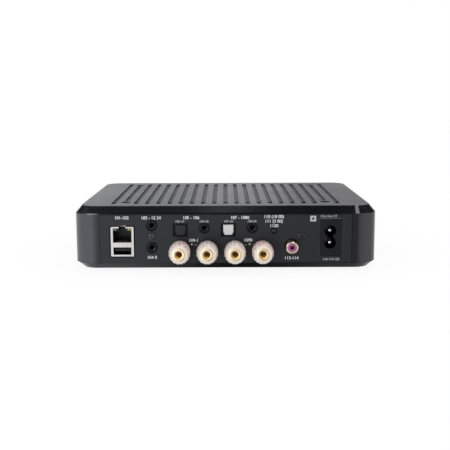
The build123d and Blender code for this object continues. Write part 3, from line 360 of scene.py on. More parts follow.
def piece(name, shells, material, body, slot, *replaced):
    """Closed piece made of shells, each a list of points in millimetres and a list of faces."""
    build = bmesh.new()
    for points, faces in shells:
        corners = [build.verts.new([value * MM for value in point]) for point in points]
        for face in faces:
            build.faces.new([corners[i] for i in face])
    bmesh.ops.remove_doubles(build, verts=build.verts, dist=1e-7)
    bmesh.ops.recalc_face_normals(build, faces=build.faces)
    mesh = bpy.data.meshes.new(name)
    build.to_mesh(mesh)
    build.free()
    mesh.shade_smooth()
    mesh.set_sharp_from_angle(angle=sharp_angle)
    mesh.materials.append(material)
    made = bpy.data.objects.new(name, mesh)
    scene.collection.objects.link(made)
    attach(made, body)
    if replaced:
        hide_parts(*replaced)
    return made


def slab(outline, y_low, y_high):
    """Shell of an outline in x and z made solid between two y places."""
    count = len(outline)
    points = [(x, y, z) for y in (y_low, y_high) for x, z in outline]
    faces = [tuple(range(count)), tuple(range(count, 2 * count))]
    faces += [(i, (i + 1) % count, count + (i + 1) % count, count + i) for i in range(count)]
    return points, faces


def bar(x_low, x_high, z_low, z_high):
    """Outline of an upright rectangle."""
    return [(x_low, z_low), (x_high, z_low), (x_high, z_high), (x_low, z_high)]


def lettered(words, tall, x, z):
    """Shell of a few printed signs, centred on x with their foot at z, read from behind."""
    curve = bpy.data.curves.new("signs", "FONT")
    curve.body = words
    curve.size = tall / capital_share
    curve.align_x = "CENTER"
    curve.offset = tall * ink_swell
    curve.extrude = ink_thick / 2
    holder = bpy.data.objects.new("signs", curve)
    mesh = bpy.data.meshes.new_from_object(holder)
    points = [(x - v.co.x, panel_face + ink_thick / 2 + v.co.z, z + v.co.y) for v in mesh.vertices]
    faces = [tuple(face.vertices) for face in mesh.polygons]
    bpy.data.objects.remove(holder)
    bpy.data.curves.remove(curve)
    bpy.data.meshes.remove(mesh)
    return points, faces


def printed(name, thin, full):
    """Screen-printed ink whose cover is a little uneven."""
    material, tree, shader = new_material(name)
    wear = grain(tree, 2600.0, 3.0)
    feed(tree, blended(tree, spread(tree, wear, 0.35, 0.7), thin, full), shader.inputs["Base Color"])
    feed(tree, spread(tree, wear, 0.3, 0.7, 0.5, 0.7), shader.inputs["Roughness"])
    return material


panel_face = span("rear_panel")[1].y
tall, small_tall = 2.1, 1.6
upper_z, small_z = 37.3, 34.9
labels = (
    ("101-102", 72.3, upper_z), ("103 - 12 24", 51.9, upper_z), ("104 0", 51.5, 9.3),
    ("105 - 106", 24.0, upper_z), ("107 - 1080", -9.9, upper_z), ("109-1", 22.4, 21.3), ("+", 23.6, 18.4),
    ("-", 21.0, 18.4), ("1090", -15.6, 21.4), ("-", -14.2, 18.5), ("+", -16.8, 18.5),
    ("110 (10 00)", -33.6, 37.9), ("111 (3 00)", -33.6, 34.7), ("1120", -33.7, 31.5), ("113-114", -46.0, 8.6),
)
small_labels = (
    ("105-10", 32.0, small_z), ("106-20", 15.1, small_z), ("107-10", -1.9, small_z), ("108-20", -18.3, small_z),
    ("115-116-117", -71.6, 38.3), ("118-119-120", -73.6, 7.9),
)
marks = [lettered(words, tall, x, z) for words, x, z in labels]
small_marks = [lettered(words, small_tall, x, z) for words, x, z in small_labels]
left, right, foot, top, stroke = -63.0, -58.9, 35.4, 39.4, 1.25
square = [slab(bar(*sides), panel_face, panel_face + ink_thick) for sides in (
    (left, right, foot, foot + stroke), (left, right, top - stroke, top),
    (left, left + stroke, foot + stroke, top - stroke), (right - stroke, right, foot + stroke, top - stroke))]
white_ink = printed("white_ink", (0.78, 0.79, 0.81), (0.93, 0.94, 0.95))
piece("panel_marks", marks, white_ink, "casing", "white_print")
grey_ink = printed("grey_ink", (0.42, 0.42, 0.43), (0.55, 0.55, 0.56))
piece("small_marks", small_marks, grey_ink, "casing", "white_print")
piece("square_mark", square, grey_ink, "casing", "white_print")


# Network and USB socket
# A folded and stamped shell of bright nickel plated sheet round a black moulding, with
# gold plated contacts and two small light pipes beside the slot for the plug's latch.
def joined(tree, x, y, z):
    """Vector from three values."""
    node = tree.nodes.new("ShaderNodeCombineXYZ")
    for socket, value in zip(node.inputs, (x, y, z)):
        feed(tree, value, socket)
    return node.outputs[0]


def streaked(group, given, out, lines, lines_reach, stain, stain_colour):
    """Fill a metal group: streaks that change the gloss and the height, and a stain."""
    tarnish = maths(group, "MULTIPLY", stain, given["Stain"])
    feed(group, blended(group, tarnish, given["Colour"], stain_colour), out["Colour"])
    uneven = maths(group, "MULTIPLY", maths(group, "SUBTRACT", lines, 0.5), lines_reach)
    feed(group, maths(group, "ADD", given["Roughness"], uneven), out["Roughness"])
    feed(group, lines, out["Height"])


sheet_group, given, out = new_group(
    "plated_sheet", {"Colour": (0.8, 0.8, 0.8), "Roughness": 0.3, "Lines": 3000.0, "Stain": 0.15})
sheet_place = parts_of(sheet_group, place_of(sheet_group))
rolled = joined(sheet_group, maths(sheet_group, "MULTIPLY", sheet_place["X"], 0.04),
                maths(sheet_group, "MULTIPLY", sheet_place["Y"], 0.2), sheet_place["Z"])
sheet_stain = spread(sheet_group, grain(sheet_group, 300.0, 4.0), 0.35, 0.7)
streaked(sheet_group, given, out, noise(sheet_group, rolled, given["Lines"], 2.0), 0.2, sheet_stain,
         (0.42, 0.36, 0.28))


def metal(name, group, colour, roughness, depth=0.000004, **values):
    """Plated or bare metal whose marks come from a group."""
    material, tree, shader = new_material(name)
    coat(tree, shader, grown(tree, group, {"Colour": colour, "Roughness": roughness, **values}), depth)
    shader.inputs["Metallic"].default_value = 1.0
    return material


nickel_colour = (0.66, 0.60, 0.55)
gold_colour = (0.98, 0.80, 0.54)
finished(metal("nickel_sheet", sheet_group, nickel_colour, 0.34), "network_usb_shell")
finished(moulded("black_nylon", (0.006, 0.006, 0.0065), 0.32, depth=0.000006, specular=0.3, Grain=5000.0),
         "network_insert", "usb_tongue")
finished(metal("contact_gold", sheet_group, gold_colour, 0.25), "contact_springs")
light_round = 0.35
light_wide = 2.6
light_low, light_high = span("network_lights")


def softened(corners, size, steps=3):
    """Closed outline with every corner rounded off."""
    line = []
    for i, corner in enumerate(corners):
        here = Vector(corner)
        before = Vector(corners[i - 1]) - here
        after = Vector(corners[(i + 1) % len(corners)]) - here
        start = here + before.normalized() * min(size, before.length * 0.49)
        end = here + after.normalized() * min(size, after.length * 0.49)
        for step in range(steps + 1):
            t = step / steps
            line.append(tuple(start * (1 - t) ** 2 + here * 2 * t * (1 - t) + end * t ** 2))
    return line


def lofted(rings):
    """Shell through rings of points with the same count, closed at both ends."""
    count = len(rings[0])
    points = [point for ring in rings for point in ring]
    faces = [tuple(range(count)), tuple(range(count * (len(rings) - 1), count * len(rings)))]
    for row in range(len(rings) - 1):
        for i in range(count):
            near, far = row * count + i, row * count + (i + 1) % count
            faces.append((near, far, far + count, near + count))
    return points, faces


def pillow(x_low, x_high, y_low, y_high, z_low, z_high, edge):
    """Upright block whose corners and front edge are rounded."""
    rings = []
    for inset, y in ((0, y_low), (0, y_high - edge), (0.3 * edge, y_high - 0.3 * edge), (edge, y_high)):
        outline = bar(x_low + inset, x_high - inset, z_low + inset, z_high - inset)
        rings.append([(x, y, z) for x, z in softened(outline, edge)])
    return lofted(rings)


def clouded(tree, shader, cloud, colours, gloss):
    """Give a shader a colour and a roughness that each drift between two values."""
    feed(tree, blended(tree, spread(tree, cloud, 0.3, 0.7), *colours), shader.inputs["Base Color"])
    feed(tree, spread(tree, cloud, 0.3, 0.7, *gloss), shader.inputs["Roughness"])


def light_pipe(name, colour, glow):
    """Clear coloured plastic with a milky core."""
    material, tree, shader = new_material(name)
    pale = tuple(0.15 + 0.7 * value for value in colour)
    clouded(tree, shader, grain(tree, 1800.0, 2.0), (colour, pale), (0.15, 0.3))
    shader.inputs["Transmission Weight"].default_value = 0.3
    shader.inputs["Specular IOR Level"].default_value = 0.25
    shader.inputs["Emission Color"].default_value = (*colour, 1.0)
    shader.inputs["Emission Strength"].default_value = glow
    return material


light_sides = (light_low.y, light_high.y, light_low.z, light_high.z, light_round)
piece("green_light", [pillow(light_high.x - light_wide, light_high.x, *light_sides)],
      light_pipe("green_pipe", (0.06, 0.20, 0.13), 0.1), "casing", "socket_light", "network_lights")
piece("yellow_light", [pillow(light_low.x, light_low.x + light_wide, *light_sides)],
      light_pipe("yellow_pipe", (0.38, 0.33, 0.06), 0.1), "casing", "socket_light", "network_lights")


# 3.5 mm jacks
# Black nylon mouldings whose round noses stand a little proud of the panel. A sprung
# nickel contact shows low down in each bore.
def arc_strip(x, z, inner, outer, start, end, y_low, y_high, steps=12):
    """Shell of part of a tube along Y, from one angle to another in degrees."""
    angles = [math.radians(start + (end - start) * step / steps) for step in range(steps + 1)]
    outline = [(x + inner * math.cos(a), z + inner * math.sin(a)) for a in angles]
    outline += [(x + outer * math.cos(a), z + outer * math.sin(a)) for a in reversed(angles)]
    return slab(outline, y_low, y_high)


jacks = ("trigger", "infrared", "line_in", "line_out")
jack_skin = moulded("jack_nylon", (0.003, 0.003, 0.0034), 0.26, depth=0.000005, specular=0.28, Grain=5000.0)
finished(jack_skin, *[f"{name}_jack" for name in jacks])
leaf_inner, leaf_outer = 1.68, 1.79
leaf_start, leaf_end = 190, 250
leaf_in, leaf_out = 1.1, 6.0
leaves = []
for name in jacks:
    bore = port(f"{name}_bore")
    leaves.append(arc_strip(bore.x, bore.z, leaf_inner, leaf_outer, leaf_start, leaf_end,
                            bore.y - leaf_out, bore.y - leaf_in))
sprung_nickel = metal("sprung_nickel", sheet_group, (0.40, 0.37, 0.35), 0.3)
piece("jack_contacts", leaves, sprung_nickel, "casing", "socket_nickel")


# Optical sockets
# Black mouldings with a keyed mouth, each shut by a sprung flap: black on the input and
# pale grey on the output. A red-tinted lens sits at the back of each.
optical_grain = {"depth": 0.00001, "Grain": 3000.0}
housing_skin = moulded("optical_nylon", (0.0022, 0.0022, 0.0026), 0.5, specular=0.14, **optical_grain)
finished(housing_skin, "optical_in_housing", "optical_out_housing")
black_flap = moulded("black_flap", (0.0095, 0.0095, 0.0105), 0.38, specular=0.4, **optical_grain)
finished(black_flap, "optical_in_shutter")
finished(moulded("pale_flap", (0.72, 0.72, 0.725), 0.4, Grain=2600.0, Dust=0.05), "optical_out_shutter")
lens, lens_tree, lens_shader = new_material("lens")
clouded(lens_tree, lens_shader, grain(lens_tree, 2500.0, 2.0),
        ((0.5, 0.02, 0.02), (0.7, 0.05, 0.04)), (0.03, 0.08))
lens_shader.inputs["Transmission Weight"].default_value = 0.8
finished(lens, "optical_lenses")


# Loudspeaker terminals
# A gold plated threaded stud through the panel, bored for a 4 mm plug, with a coloured
# insulating collar, a clamping washer, and a clear fluted knob moulded on a plated core.
turned_group, given, out = new_group(
    "turned_metal", {"Colour": (0.8, 0.8, 0.8), "Roughness": 0.2, "Lines": 5000.0, "Stain": 0.1})
turned_place = parts_of(turned_group, place_of(turned_group))
across = maths(turned_group, "ADD", turned_place["X"], turned_place["Z"])
across = maths(turned_group, "MULTIPLY", across, 0.02)
cut_marks = joined(turned_group, across, turned_place["Y"], 0.0)
turned_stain = spread(turned_group, grain(turned_group, 420.0, 4.0), 0.35, 0.75)
streaked(turned_group, given, out, noise(turned_group, cut_marks, given["Lines"], 1.0), 0.15, turned_stain,
         (0.40, 0.24, 0.10))
post_count = 4
post_places = [port(f"post_{i}_plug_bore") for i in range(1, post_count + 1)]
first_post = post_places[0]
post_pitch = (first_post.x - post_places[1].x) * MM
stud_radius = 3.0
bore_radius = 2.0
bore_long = 13.0
bore_dark = 7.0
brown_radius = bore_radius + 0.6
lit_below, lit_above = 1.6, 0.8
lip_near, lip_far = 0.4, 0.8


def from_axis(tree):
    """Distance from the axis of the nearest terminal, in metres."""
    at = parts_of(tree, place_of(tree))
    aside = maths(tree, "PINGPONG", maths(tree, "SUBTRACT", at["X"], first_post.x * MM), post_pitch / 2)
    return reach(tree, aside, maths(tree, "SUBTRACT", at["Z"], first_post.z * MM))


def bored_gold(name, colour, roughness):
    """Gold plate with painted light and shade in the bore: brown, darker further in, at the lip and toward the
    top, and lit on the lower wall.
    """
    material, tree, shader = new_material(name)
    at = parts_of(tree, place_of(tree))
    inward = spread(tree, at["Y"], first_post.y * MM, (first_post.y - bore_dark) * MM)
    upper = spread(tree, at["Z"], (first_post.z - lit_below) * MM, (first_post.z + lit_above) * MM)
    at_mouth = spread(tree, at["Y"], (first_post.y - lip_far) * MM, (first_post.y - lip_near) * MM)
    # Painted light on the bore's lower wall and painted shade on its upper wall, further in and at the lip;
    # inside the bore the plate has almost no metal shine.
    bore_wall_light_and_shade = blended(tree, upper, (1.0, 0.72, 0.24), (0.55, 0.29, 0.08))
    lip = blended(tree, upper, (0.85, 0.55, 0.14), (0.40, 0.22, 0.06))
    brown = blended(tree, at_mouth, blended(tree, inward, bore_wall_light_and_shade, (0.76, 0.42, 0.11)), lip)
    in_bore = under(tree, from_axis(tree), brown_radius * MM)
    skin = grown(tree, turned_group, {"Colour": colour, "Roughness": roughness})
    coat(tree, shader, skin, 0.000004)
    feed(tree, blended(tree, in_bore, skin["Colour"], brown), shader.inputs["Base Color"])
    feed(tree, chosen(tree, in_bore, 1.0, 0.1), shader.inputs["Metallic"])
    return material


post_gold = bored_gold("post_gold", gold_colour, 0.2)
wire_hole_radius = 1.4
wire_hole_out = 3.9
stud_low, stud_high = span("post_studs")
collar_low, collar_high = span("post_collars")
thread_pitch = 1.0
thread_deep = 0.28
thread_rows = 8
thread_fade = 0.5
outermost = stud_radius - 0.01
thread_start, thread_end = collar_high.y + 0.3, stud_high.y - 0.4


def turned(profile, x, z, sides=72, shape=None):
    """Shell of a profile, as radius and y, swept round an axis along Y."""
    rows = len(profile)
    points = []
    for i in range(sides):
        angle = math.tau * i / sides
        for radius, y in profile:
            r = shape(radius, y, angle) if shape else radius
            points.append((x + r * math.cos(angle), y, z + r * math.sin(angle)))
    links = rows - 1 if profile[0][0] == 0 else rows
    faces = []
    for i in range(sides):
        j = (i + 1) % sides
        for k in range(links):
            m = (k + 1) % rows
            faces.append((i * rows + k, i * rows + m, j * rows + m, j * rows + k))
    return points, faces


def threaded(radius, y, angle):
    """Radius of the stud with its right-hand thread."""
    if radius < outermost or y < thread_start:
        return radius
    turn = (y / thread_pitch - angle / math.tau) % 1.0
    run_out = min(1.0, (y - thread_start) / thread_fade, (thread_end - y) / thread_fade)
    return radius - thread_deep * abs(2 * turn - 1) * max(run_out, 0.0)


def drilled(made, low, high, y, z, radius, sides=32):
    """Bore a hole through a piece along X."""
    turns = [math.tau * i / sides for i in range(sides)]
    ring = [(y + radius * math.cos(a), z + radius * math.sin(a)) for a in turns]
    drill = lofted([[(x, *point) for point in ring] for x in (low, high)])
    cutter = piece("drill", [drill], made.data.materials[0], "casing", "post_gold")
    change = made.modifiers.new("hole", "BOOLEAN")
    change.operation = "DIFFERENCE"
    change.solver = "EXACT"
    change.object = cutter
    graph = bpy.context.evaluated_depsgraph_get()
    cut = bpy.data.meshes.new_from_object(made.evaluated_get(graph))
    made.modifiers.remove(change)
    bpy.data.objects.remove(cutter)
    made.data = cut
    cut.shade_smooth()
    cut.set_sharp_from_angle(angle=sharp_angle)


stud_front, bore_foot = stud_high.y, stud_high.y - bore_long
stud_bevel, bore_bevel = 0.3, 0.2
stud_rounding = ((0.06, 0.12), (0.25, 0.0))
drill_spare = 2.0
row_count = int((thread_end - thread_start) / thread_pitch * thread_rows)
stud_profile = [(0, stud_low.y), (stud_radius - stud_bevel, stud_low.y),
                (stud_radius, stud_low.y + stud_bevel)]
for i in range(row_count + 1):
    stud_profile.append((stud_radius, thread_start + (thread_end - thread_start) * i / row_count))
stud_profile += [(stud_radius - inset, stud_front - below) for inset, below in stud_rounding]
stud_profile += [(bore_radius + bore_bevel, stud_front), (bore_radius, stud_front - bore_bevel),
                 (bore_radius, bore_foot + stud_bevel), (bore_radius - stud_bevel, bore_foot), (0, bore_foot)]
stud_shells = [turned(stud_profile, place.x, place.z, 72, threaded) for place in post_places]
studs = piece("threaded_studs", stud_shells, post_gold, "casing", "post_gold", "post_studs")
drilled(studs, stud_low.x - drill_spare, stud_high.x + drill_spare, panel_face + wire_hole_out, first_post.z,
        wire_hole_radius)

collar_radius = 6.55
collar_bore = 3.05
collar_bevel = 0.3
collar_round = 0.45
spigot_radius = 4.0


def tinted(name, deep, pale, through):
    """Clear plastic with a tint that is a little uneven."""
    material, tree, shader = new_material(name)
    clouded(tree, shader, grain(tree, 900.0, 3.0), (deep, pale), (0.06, 0.14))
    feed(tree, bumped(tree, grain(tree, 700.0, 2.0), 0.00002), shader.inputs["Normal"])
    shader.inputs["Transmission Weight"].default_value = through
    shader.inputs["IOR"].default_value = 1.49
    return material


rim_corners = [(collar_radius, panel_face), (collar_radius, collar_high.y), (collar_bore, collar_high.y)]
collar_profile = [(collar_bore, collar_low.y), (spigot_radius, collar_low.y), (spigot_radius, panel_face),
                  (collar_radius, panel_face), *softened(rim_corners, collar_round)[4:8],
                  (collar_bore + collar_bevel, collar_high.y), (collar_bore, collar_high.y - collar_bevel)]
red_collar = tinted("red_collar", (0.42, 0.015, 0.025), (0.60, 0.05, 0.06), 0.5)
dark_collar = tinted("dark_collar", (0.05, 0.03, 0.03), (0.10, 0.07, 0.06), 0.3)
red_posts = (1, 4)
for name, material, red in (("red_collars", red_collar, True), ("dark_collars", dark_collar, False)):
    rings = [turned(collar_profile, place.x, place.z) for number, place in enumerate(post_places, start=1)
             if (number in red_posts) == red]
    piece(name, rings, material, "casing", "clear_grip", "post_collars")
finished(metal("nut_nickel", turned_group, nickel_colour, 0.3), "post_nuts")

washer_round = 0.2
core_radius = 4.3
core_bore = 3.06
core_bevel, core_back_bevel = 0.4, 0.2
core_ridge = 0.25
core_ridge_pitch = 1.3
core_ridge_rows = 8
ridges_start, ridges_spare = 0.5, 1.6
core_mouth = 2.5
core_lip = 0.5
core_rounding = ((0.0, 0.3), (0.1, 0.08), (0.3, 0.0))
mouth_rounding = ((0.2, 0.0), (0.03, 0.07), (0.0, 0.2))
core_gold = bored_gold("core_gold", (1.0, 0.79, 0.52), 0.28)
grip_bore = 3.6
grip_back = 0.3
grip_front_radius = 5.9
grip_back_in = 0.6
grip_full_from = 2.6
grip_taper = 5.0
grip_round = 0.5
flute_count = 16
flute_radius = 0.8
flute_in = 0.35
knob_box = span("post_1_knob")
glow_inner, glow_outer = 4.6, 6.8
moulded_ring_pitch = 1.25
root_from, root_to = 1.0, 6.0
plain_front = 1.0


def milky(name, root_colour):
    """Clear plastic with painted light: a painted warm glow near the core, painted rings where the thread would
    show through, a painted tint of the collar near the root, and painted glints.
    """
    material, tree, shader = new_material(name)
    along = parts_of(tree, place_of(tree))["Y"]
    cloud = grain(tree, 700.0, 3.0)
    painted_core_glow = spread(tree, from_axis(tree), glow_inner * MM, glow_outer * MM, 0.9, 0.0)
    wave = maths(tree, "SINE", maths(tree, "MULTIPLY", along, math.tau / (moulded_ring_pitch * MM)))
    ringed = both(tree, spread(tree, wave, 0.0, 0.8, 0.0, 0.75), spread(tree, cloud, 0.3, 0.5, 0.4, 1.0))
    in_front = under(tree, along, (knob_box[1].y - plain_front) * MM)
    root_near, root_far = (knob_box[0].y + root_from) * MM, (knob_box[0].y + root_to) * MM
    near_root = spread(tree, along, root_near, root_far, 0.45, 0.0)
    # Painted glints, in the collar's colour.
    glints = spread(tree, grain(tree, 420.0, 1.0), 0.56, 0.66, 0.0, 0.8)
    skin = blended(tree, spread(tree, cloud, 0.3, 0.7), (0.90, 0.80, 0.76), (0.99, 0.91, 0.87))
    for mask, colour in ((painted_core_glow, (1.0, 0.87, 0.70)), (both(tree, ringed, in_front), (0.62, 0.50, 0.45)),
                         (near_root, root_colour), (both(tree, glints, in_front), root_colour)):
        skin = blended(tree, mask, skin, colour)
    feed(tree, skin, shader.inputs["Base Color"])
    feed(tree, spread(tree, cloud, 0.3, 0.7, 0.08, 0.18), shader.inputs["Roughness"])
    feed(tree, bumped(tree, cloud, 0.00003), shader.inputs["Normal"])
    shader.inputs["Transmission Weight"].default_value = 0.12
    shader.inputs["IOR"].default_value = 1.49
    return material


clear = milky("clear_acrylic", (0.80, 0.62, 0.50))
clear_over_red = milky("clear_acrylic_red", (0.82, 0.36, 0.36))
for number, place in enumerate(post_places, start=1):
    post = f"post_{number}"
    washer_low, washer_high = span(f"{post}_washer")
    washer_radius = washer_high.x - place.x
    ring = softened([(core_bore, washer_low.y), (washer_radius, washer_low.y), (washer_radius, washer_high.y),
                     (core_bore, washer_high.y)], washer_round)
    piece(f"clamp_washer_{number}", [turned(ring, place.x, place.z)], post_gold, f"{post}_clamp", "post_gold",
          f"{post}_washer")
    knob = f"{post}_knob"
    knob_low, knob_high = span(knob)
    grip_radius = knob_high.x - place.x
    ridges = int((knob_high.y - knob_low.y - ridges_spare) / core_ridge_pitch) * core_ridge_rows
    profile = [(core_bore, knob_low.y + core_bevel), (core_bore + core_bevel, knob_low.y),
               (core_radius - core_back_bevel, knob_low.y)]
    for i in range(ridges + 1):
        y = knob_low.y + ridges_start + i * core_ridge_pitch / core_ridge_rows
        profile.append((core_radius - core_ridge * (0.5 - 0.5 * math.cos(math.tau * i / core_ridge_rows)), y))
    profile += [(core_radius - inset, knob_high.y - below) for inset, below in core_rounding]
    profile += [(core_mouth + outset, knob_high.y - below) for outset, below in mouth_rounding]
    profile += [(core_mouth, knob_high.y - core_lip), (core_bore, knob_high.y - core_lip)]
    piece(f"knob_core_{number}", [turned(profile, place.x, place.z)], core_gold, knob, "post_gold", knob)
    back, front = knob_low.y + grip_back, knob_high.y - grip_back
    flute_circle = grip_radius + flute_radius - flute_in

    def fluted(radius, y, angle):
        """Radius of the grip where a flute cuts into it."""
        step = math.tau / flute_count
        aside = (angle + step / 2) % step - step / 2
        inside_flute = flute_radius ** 2 - (flute_circle * math.sin(aside)) ** 2
        if inside_flute <= 0:
            return radius
        return min(radius, flute_circle * math.cos(aside) - math.sqrt(inside_flute))

    outline = [(grip_bore, back), (grip_radius - grip_back_in, back), (grip_radius, back + grip_full_from),
               (grip_radius, front - grip_taper), (grip_front_radius, front), (grip_bore, front)]
    outline = softened(outline, grip_round)
    piece(f"knob_grip_{number}", [turned(outline, place.x, place.z, flute_count * 12, fluted)],
          clear_over_red if number in red_posts else clear, knob, "clear_grip", knob)


# Reset button
# A small black button, set just below the panel's face, with a rounded rim and a
# shallow dish. It works a switch on the input board.
flange_radius = (reset_high.x - reset_low.x) / 2
cap_radius = 1.4
flange_back, flange_front = 67.4, 68.2
plunger_radius = 1.1
plunger_bevel = 0.2
cap_rounding = ((0.0, 0.35), (0.1, 0.1), (0.35, 0.0), (0.6, 0.03), (1.0, 0.1), (cap_radius, 0.12))
cap = [(0, reset_low.y), (plunger_radius - plunger_bevel, reset_low.y),
       (plunger_radius, reset_low.y + plunger_bevel), (plunger_radius, flange_back),
       (flange_radius, flange_back), (flange_radius, flange_front), (cap_radius, flange_front)]
cap += [(cap_radius - inset, reset_high.y - below) for inset, below in cap_rounding]
button_skin = moulded("button_nylon", (0.015, 0.0155, 0.017), 0.36, depth=0.000008, Grain=4000.0)
cap_shell = turned(cap, reset_x, reset_z, 48)
piece("reset_cap", [cap_shell], button_skin, "reset_button", "button_black", "reset_button")


# Phono socket
# A gold plated turned shell round a violet insulator with a split contact inside,
# moulded into a black block on the main board.
finished(moulded("phono_block", (0.0015, 0.0015, 0.0018), 0.45, depth=0.000006, specular=0.1, Grain=4000.0),
         "phono_housing")
finished(metal("phono_gold", turned_group, (1.0, 0.79, 0.56), 0.24), "phono_shell")
finished(moulded("violet_insulator", (0.42, 0.10, 0.38), 0.22, depth=0.000005, Grain=4000.0),
         "phono_insulator")
# The split contact's gold is painted dark, as painted shade deep inside the socket.
finished(metal("phono_contact_shaded_gold", turned_group, (0.5, 0.36, 0.2), 0.35), "phono_contact")


# Mains inlet
# A smooth black moulding for a figure-eight connector, with two nickel plated pins that
# end in flat lugs on the supply board.
edge_deep, mouth_deep = 0.0003, 0.0004
edge_way = 0.4
left_share = 0.25
pin_bright, pin_dark = 0.002, 0.007
inlet, inlet_tree, inlet_shader = new_material("inlet_moulding")
inlet_way = facing(inlet_tree)
inlet_y = parts_of(inlet_tree, place_of(inlet_tree))["Y"]
inlet_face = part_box("mains_inlet")[1].y
# Painted highlight: the face's upper edge is painted lighter, and its left edge a little lighter.
near_face = over(inlet_tree, inlet_y, inlet_face - edge_deep)
upper_edge = both(inlet_tree, near_face, over(inlet_tree, inlet_way["Z"], edge_way))
left_edge = both(inlet_tree, near_face, over(inlet_tree, inlet_way["X"], edge_way))
painted_edge_highlight = maths(inlet_tree, "MAXIMUM", upper_edge, maths(inlet_tree, "MULTIPLY", left_edge, left_share))
# Painted shade: inside the mouth the moulding is painted near black, with little shine.
inside = under(inlet_tree, inlet_y, inlet_face - mouth_deep)
inlet_black = blended(inlet_tree, inside, (0.0125, 0.0130, 0.0170), (0.0008, 0.0008, 0.001))
inlet_black = blended(inlet_tree, painted_edge_highlight, inlet_black, (0.17, 0.18, 0.21))
inlet_skin = grown(inlet_tree, skin_group, {"Colour": inlet_black, "Roughness": 0.24, "Grain": 3000.0})
coat(inlet_tree, inlet_shader, inlet_skin, 0.000006)
feed(inlet_tree, chosen(inlet_tree, inside, 0.22, 0.03), inlet_shader.inputs["Specular IOR Level"])
finished(inlet, "mains_inlet")
pins, pins_tree, pins_shader = new_material("pin_nickel")
pin_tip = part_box("mains_pins")[1].y
pin_y = parts_of(pins_tree, place_of(pins_tree))["Y"]
# Painted shade: the pins are bright at their tips and painted near black further back in the mouth.
painted_pin_shade = spread(pins_tree, pin_y, pin_tip - pin_bright, pin_tip - pin_dark)
pin_colour = blended(pins_tree, painted_pin_shade, (0.90, 0.90, 0.90), (0.05, 0.05, 0.05))
pin_skin = grown(pins_tree, turned_group, {"Colour": pin_colour, "Roughness": 0.16})
coat(pins_tree, pins_shader, pin_skin, 0.000004)
pins_shader.inputs["Metallic"].default_value = 1.0
finished(pins, "mains_pins")


# Screws
# The panel screws have cross recesses and a black zinc finish. The long screws that
# close the casing are black as well, and the small board screws are bright zinc.
black_zinc = metal("black_zinc", turned_group, (0.055, 0.055, 0.06), 0.28, Stain=0.05)
finished(black_zinc, "panel_screws", "cover_screws")
finished(metal("bright_zinc", turned_group, (0.62, 0.63, 0.62), 0.3), "board_screws")


# Fascia, its fittings and its buttons
# Polished black plastic with a satin button row, a frosted light pipe for the status
# light and a dark red window that lets infrared through.
finished(moulded("fascia_polish", (0.008, 0.008, 0.0085), 0.12, depth=0.000003, Grain=900.0, Dust=0.03),
         "front_fascia")
finished(button_skin, "volume_down_button", "play_button", "volume_up_button")
window, window_tree, window_shader = new_material("infrared_window")
clouded(window_tree, window_shader, grain(window_tree, 600.0, 3.0),
        ((0.020, 0.002, 0.003), (0.035, 0.003, 0.004)), (0.05, 0.1))
finished(window, "ir_window")
finished(light_pipe("status_pipe", (0.72, 0.78, 0.84), 0.15), "status_light")


# Feet
# Four round pads of black rubber, pressed into recesses in the tray.
rubber_grain = {"depth": 0.00004, "Grain": 1500.0, "Dust": 0.15}
rubber = moulded("foot_rubber", (0.014, 0.014, 0.014), 0.75, specular=0.3, **rubber_grain)
finished(rubber, "rubber_feet")


# Circuit boards and what stands on them
# Glass laminate boards under green lacquer with tinned pads. The mains supply, the
# amplifier and the processor stand on them, and the casing hides them.
track_shape = (("Scale", 160.0), ("Mortar Size", 0.06), ("Mortar Smooth", 0.1), ("Brick Width", 1.7),
               ("Row Height", 0.31))
board, board_tree, board_shader = new_material("green_lacquer")
board_place = parts_of(board_tree, place_of(board_tree))
board_y = maths(board_tree, "ADD", board_place["Y"], board_place["Z"])
board_flat = joined(board_tree, board_place["X"], board_y, 0.0)
tracks = board_tree.nodes.new("ShaderNodeTexBrick")
feed(board_tree, board_flat, tracks.inputs["Vector"])
for label, value in track_shape:
    tracks.inputs[label].default_value = value
laid = spread(board_tree, noise(board_tree, board_flat, 90.0, 1.0), 0.46, 0.5)
track_mask = both(board_tree, tracks.outputs["Fac"], laid)
lacquer = blended(board_tree, track_mask, (0.006, 0.050, 0.020), (0.018, 0.120, 0.045))
pads = board_tree.nodes.new("ShaderNodeTexVoronoi")
pads.voronoi_dimensions = "2D"
pads.inputs["Randomness"].default_value = 0.6
pads.inputs["Scale"].default_value = 330.0
feed(board_tree, board_flat, pads.inputs["Vector"])
pad_rows = spread(board_tree, noise(board_tree, board_flat, 60.0, 1.0), 0.5, 0.52)
pad_mask = both(board_tree, spread(board_tree, pads.outputs["Distance"], 0.24, 0.2), pad_rows)
board_colour = blended(board_tree, pad_mask, lacquer, (0.62, 0.62, 0.58))
feed(board_tree, board_colour, board_shader.inputs["Base Color"])
feed(board_tree, pad_mask, board_shader.inputs["Metallic"])
feed(board_tree, chosen(board_tree, track_mask, 0.28, 0.22), board_shader.inputs["Roughness"])
raised = maths(board_tree, "ADD", track_mask, pad_mask)
feed(board_tree, bumped(board_tree, raised, 0.00004), board_shader.inputs["Normal"])
finished(board, "main_board", "supply_board", "input_board", "front_board")
finished(metal("spacer_nickel", turned_group, (0.72, 0.68, 0.55), 0.25), "board_spacers")
finished(moulded("switch_case", (0.012, 0.012, 0.012), 0.45), "tact_switches")
epoxy = moulded("chip_epoxy", (0.010, 0.010, 0.011), 0.55, Grain=1800.0, depth=0.00003)
finished(epoxy, "amplifier_chip", "processor_chip")
choke_skin = moulded("choke_ferrite", (0.045, 0.045, 0.048), 0.6, Grain=1500.0, depth=0.00004)
finished(choke_skin, "output_inductors")
extruded = metal("extruded_aluminium", sheet_group, (0.58, 0.59, 0.60), 0.35, Lines=1500.0, Stain=0.03)
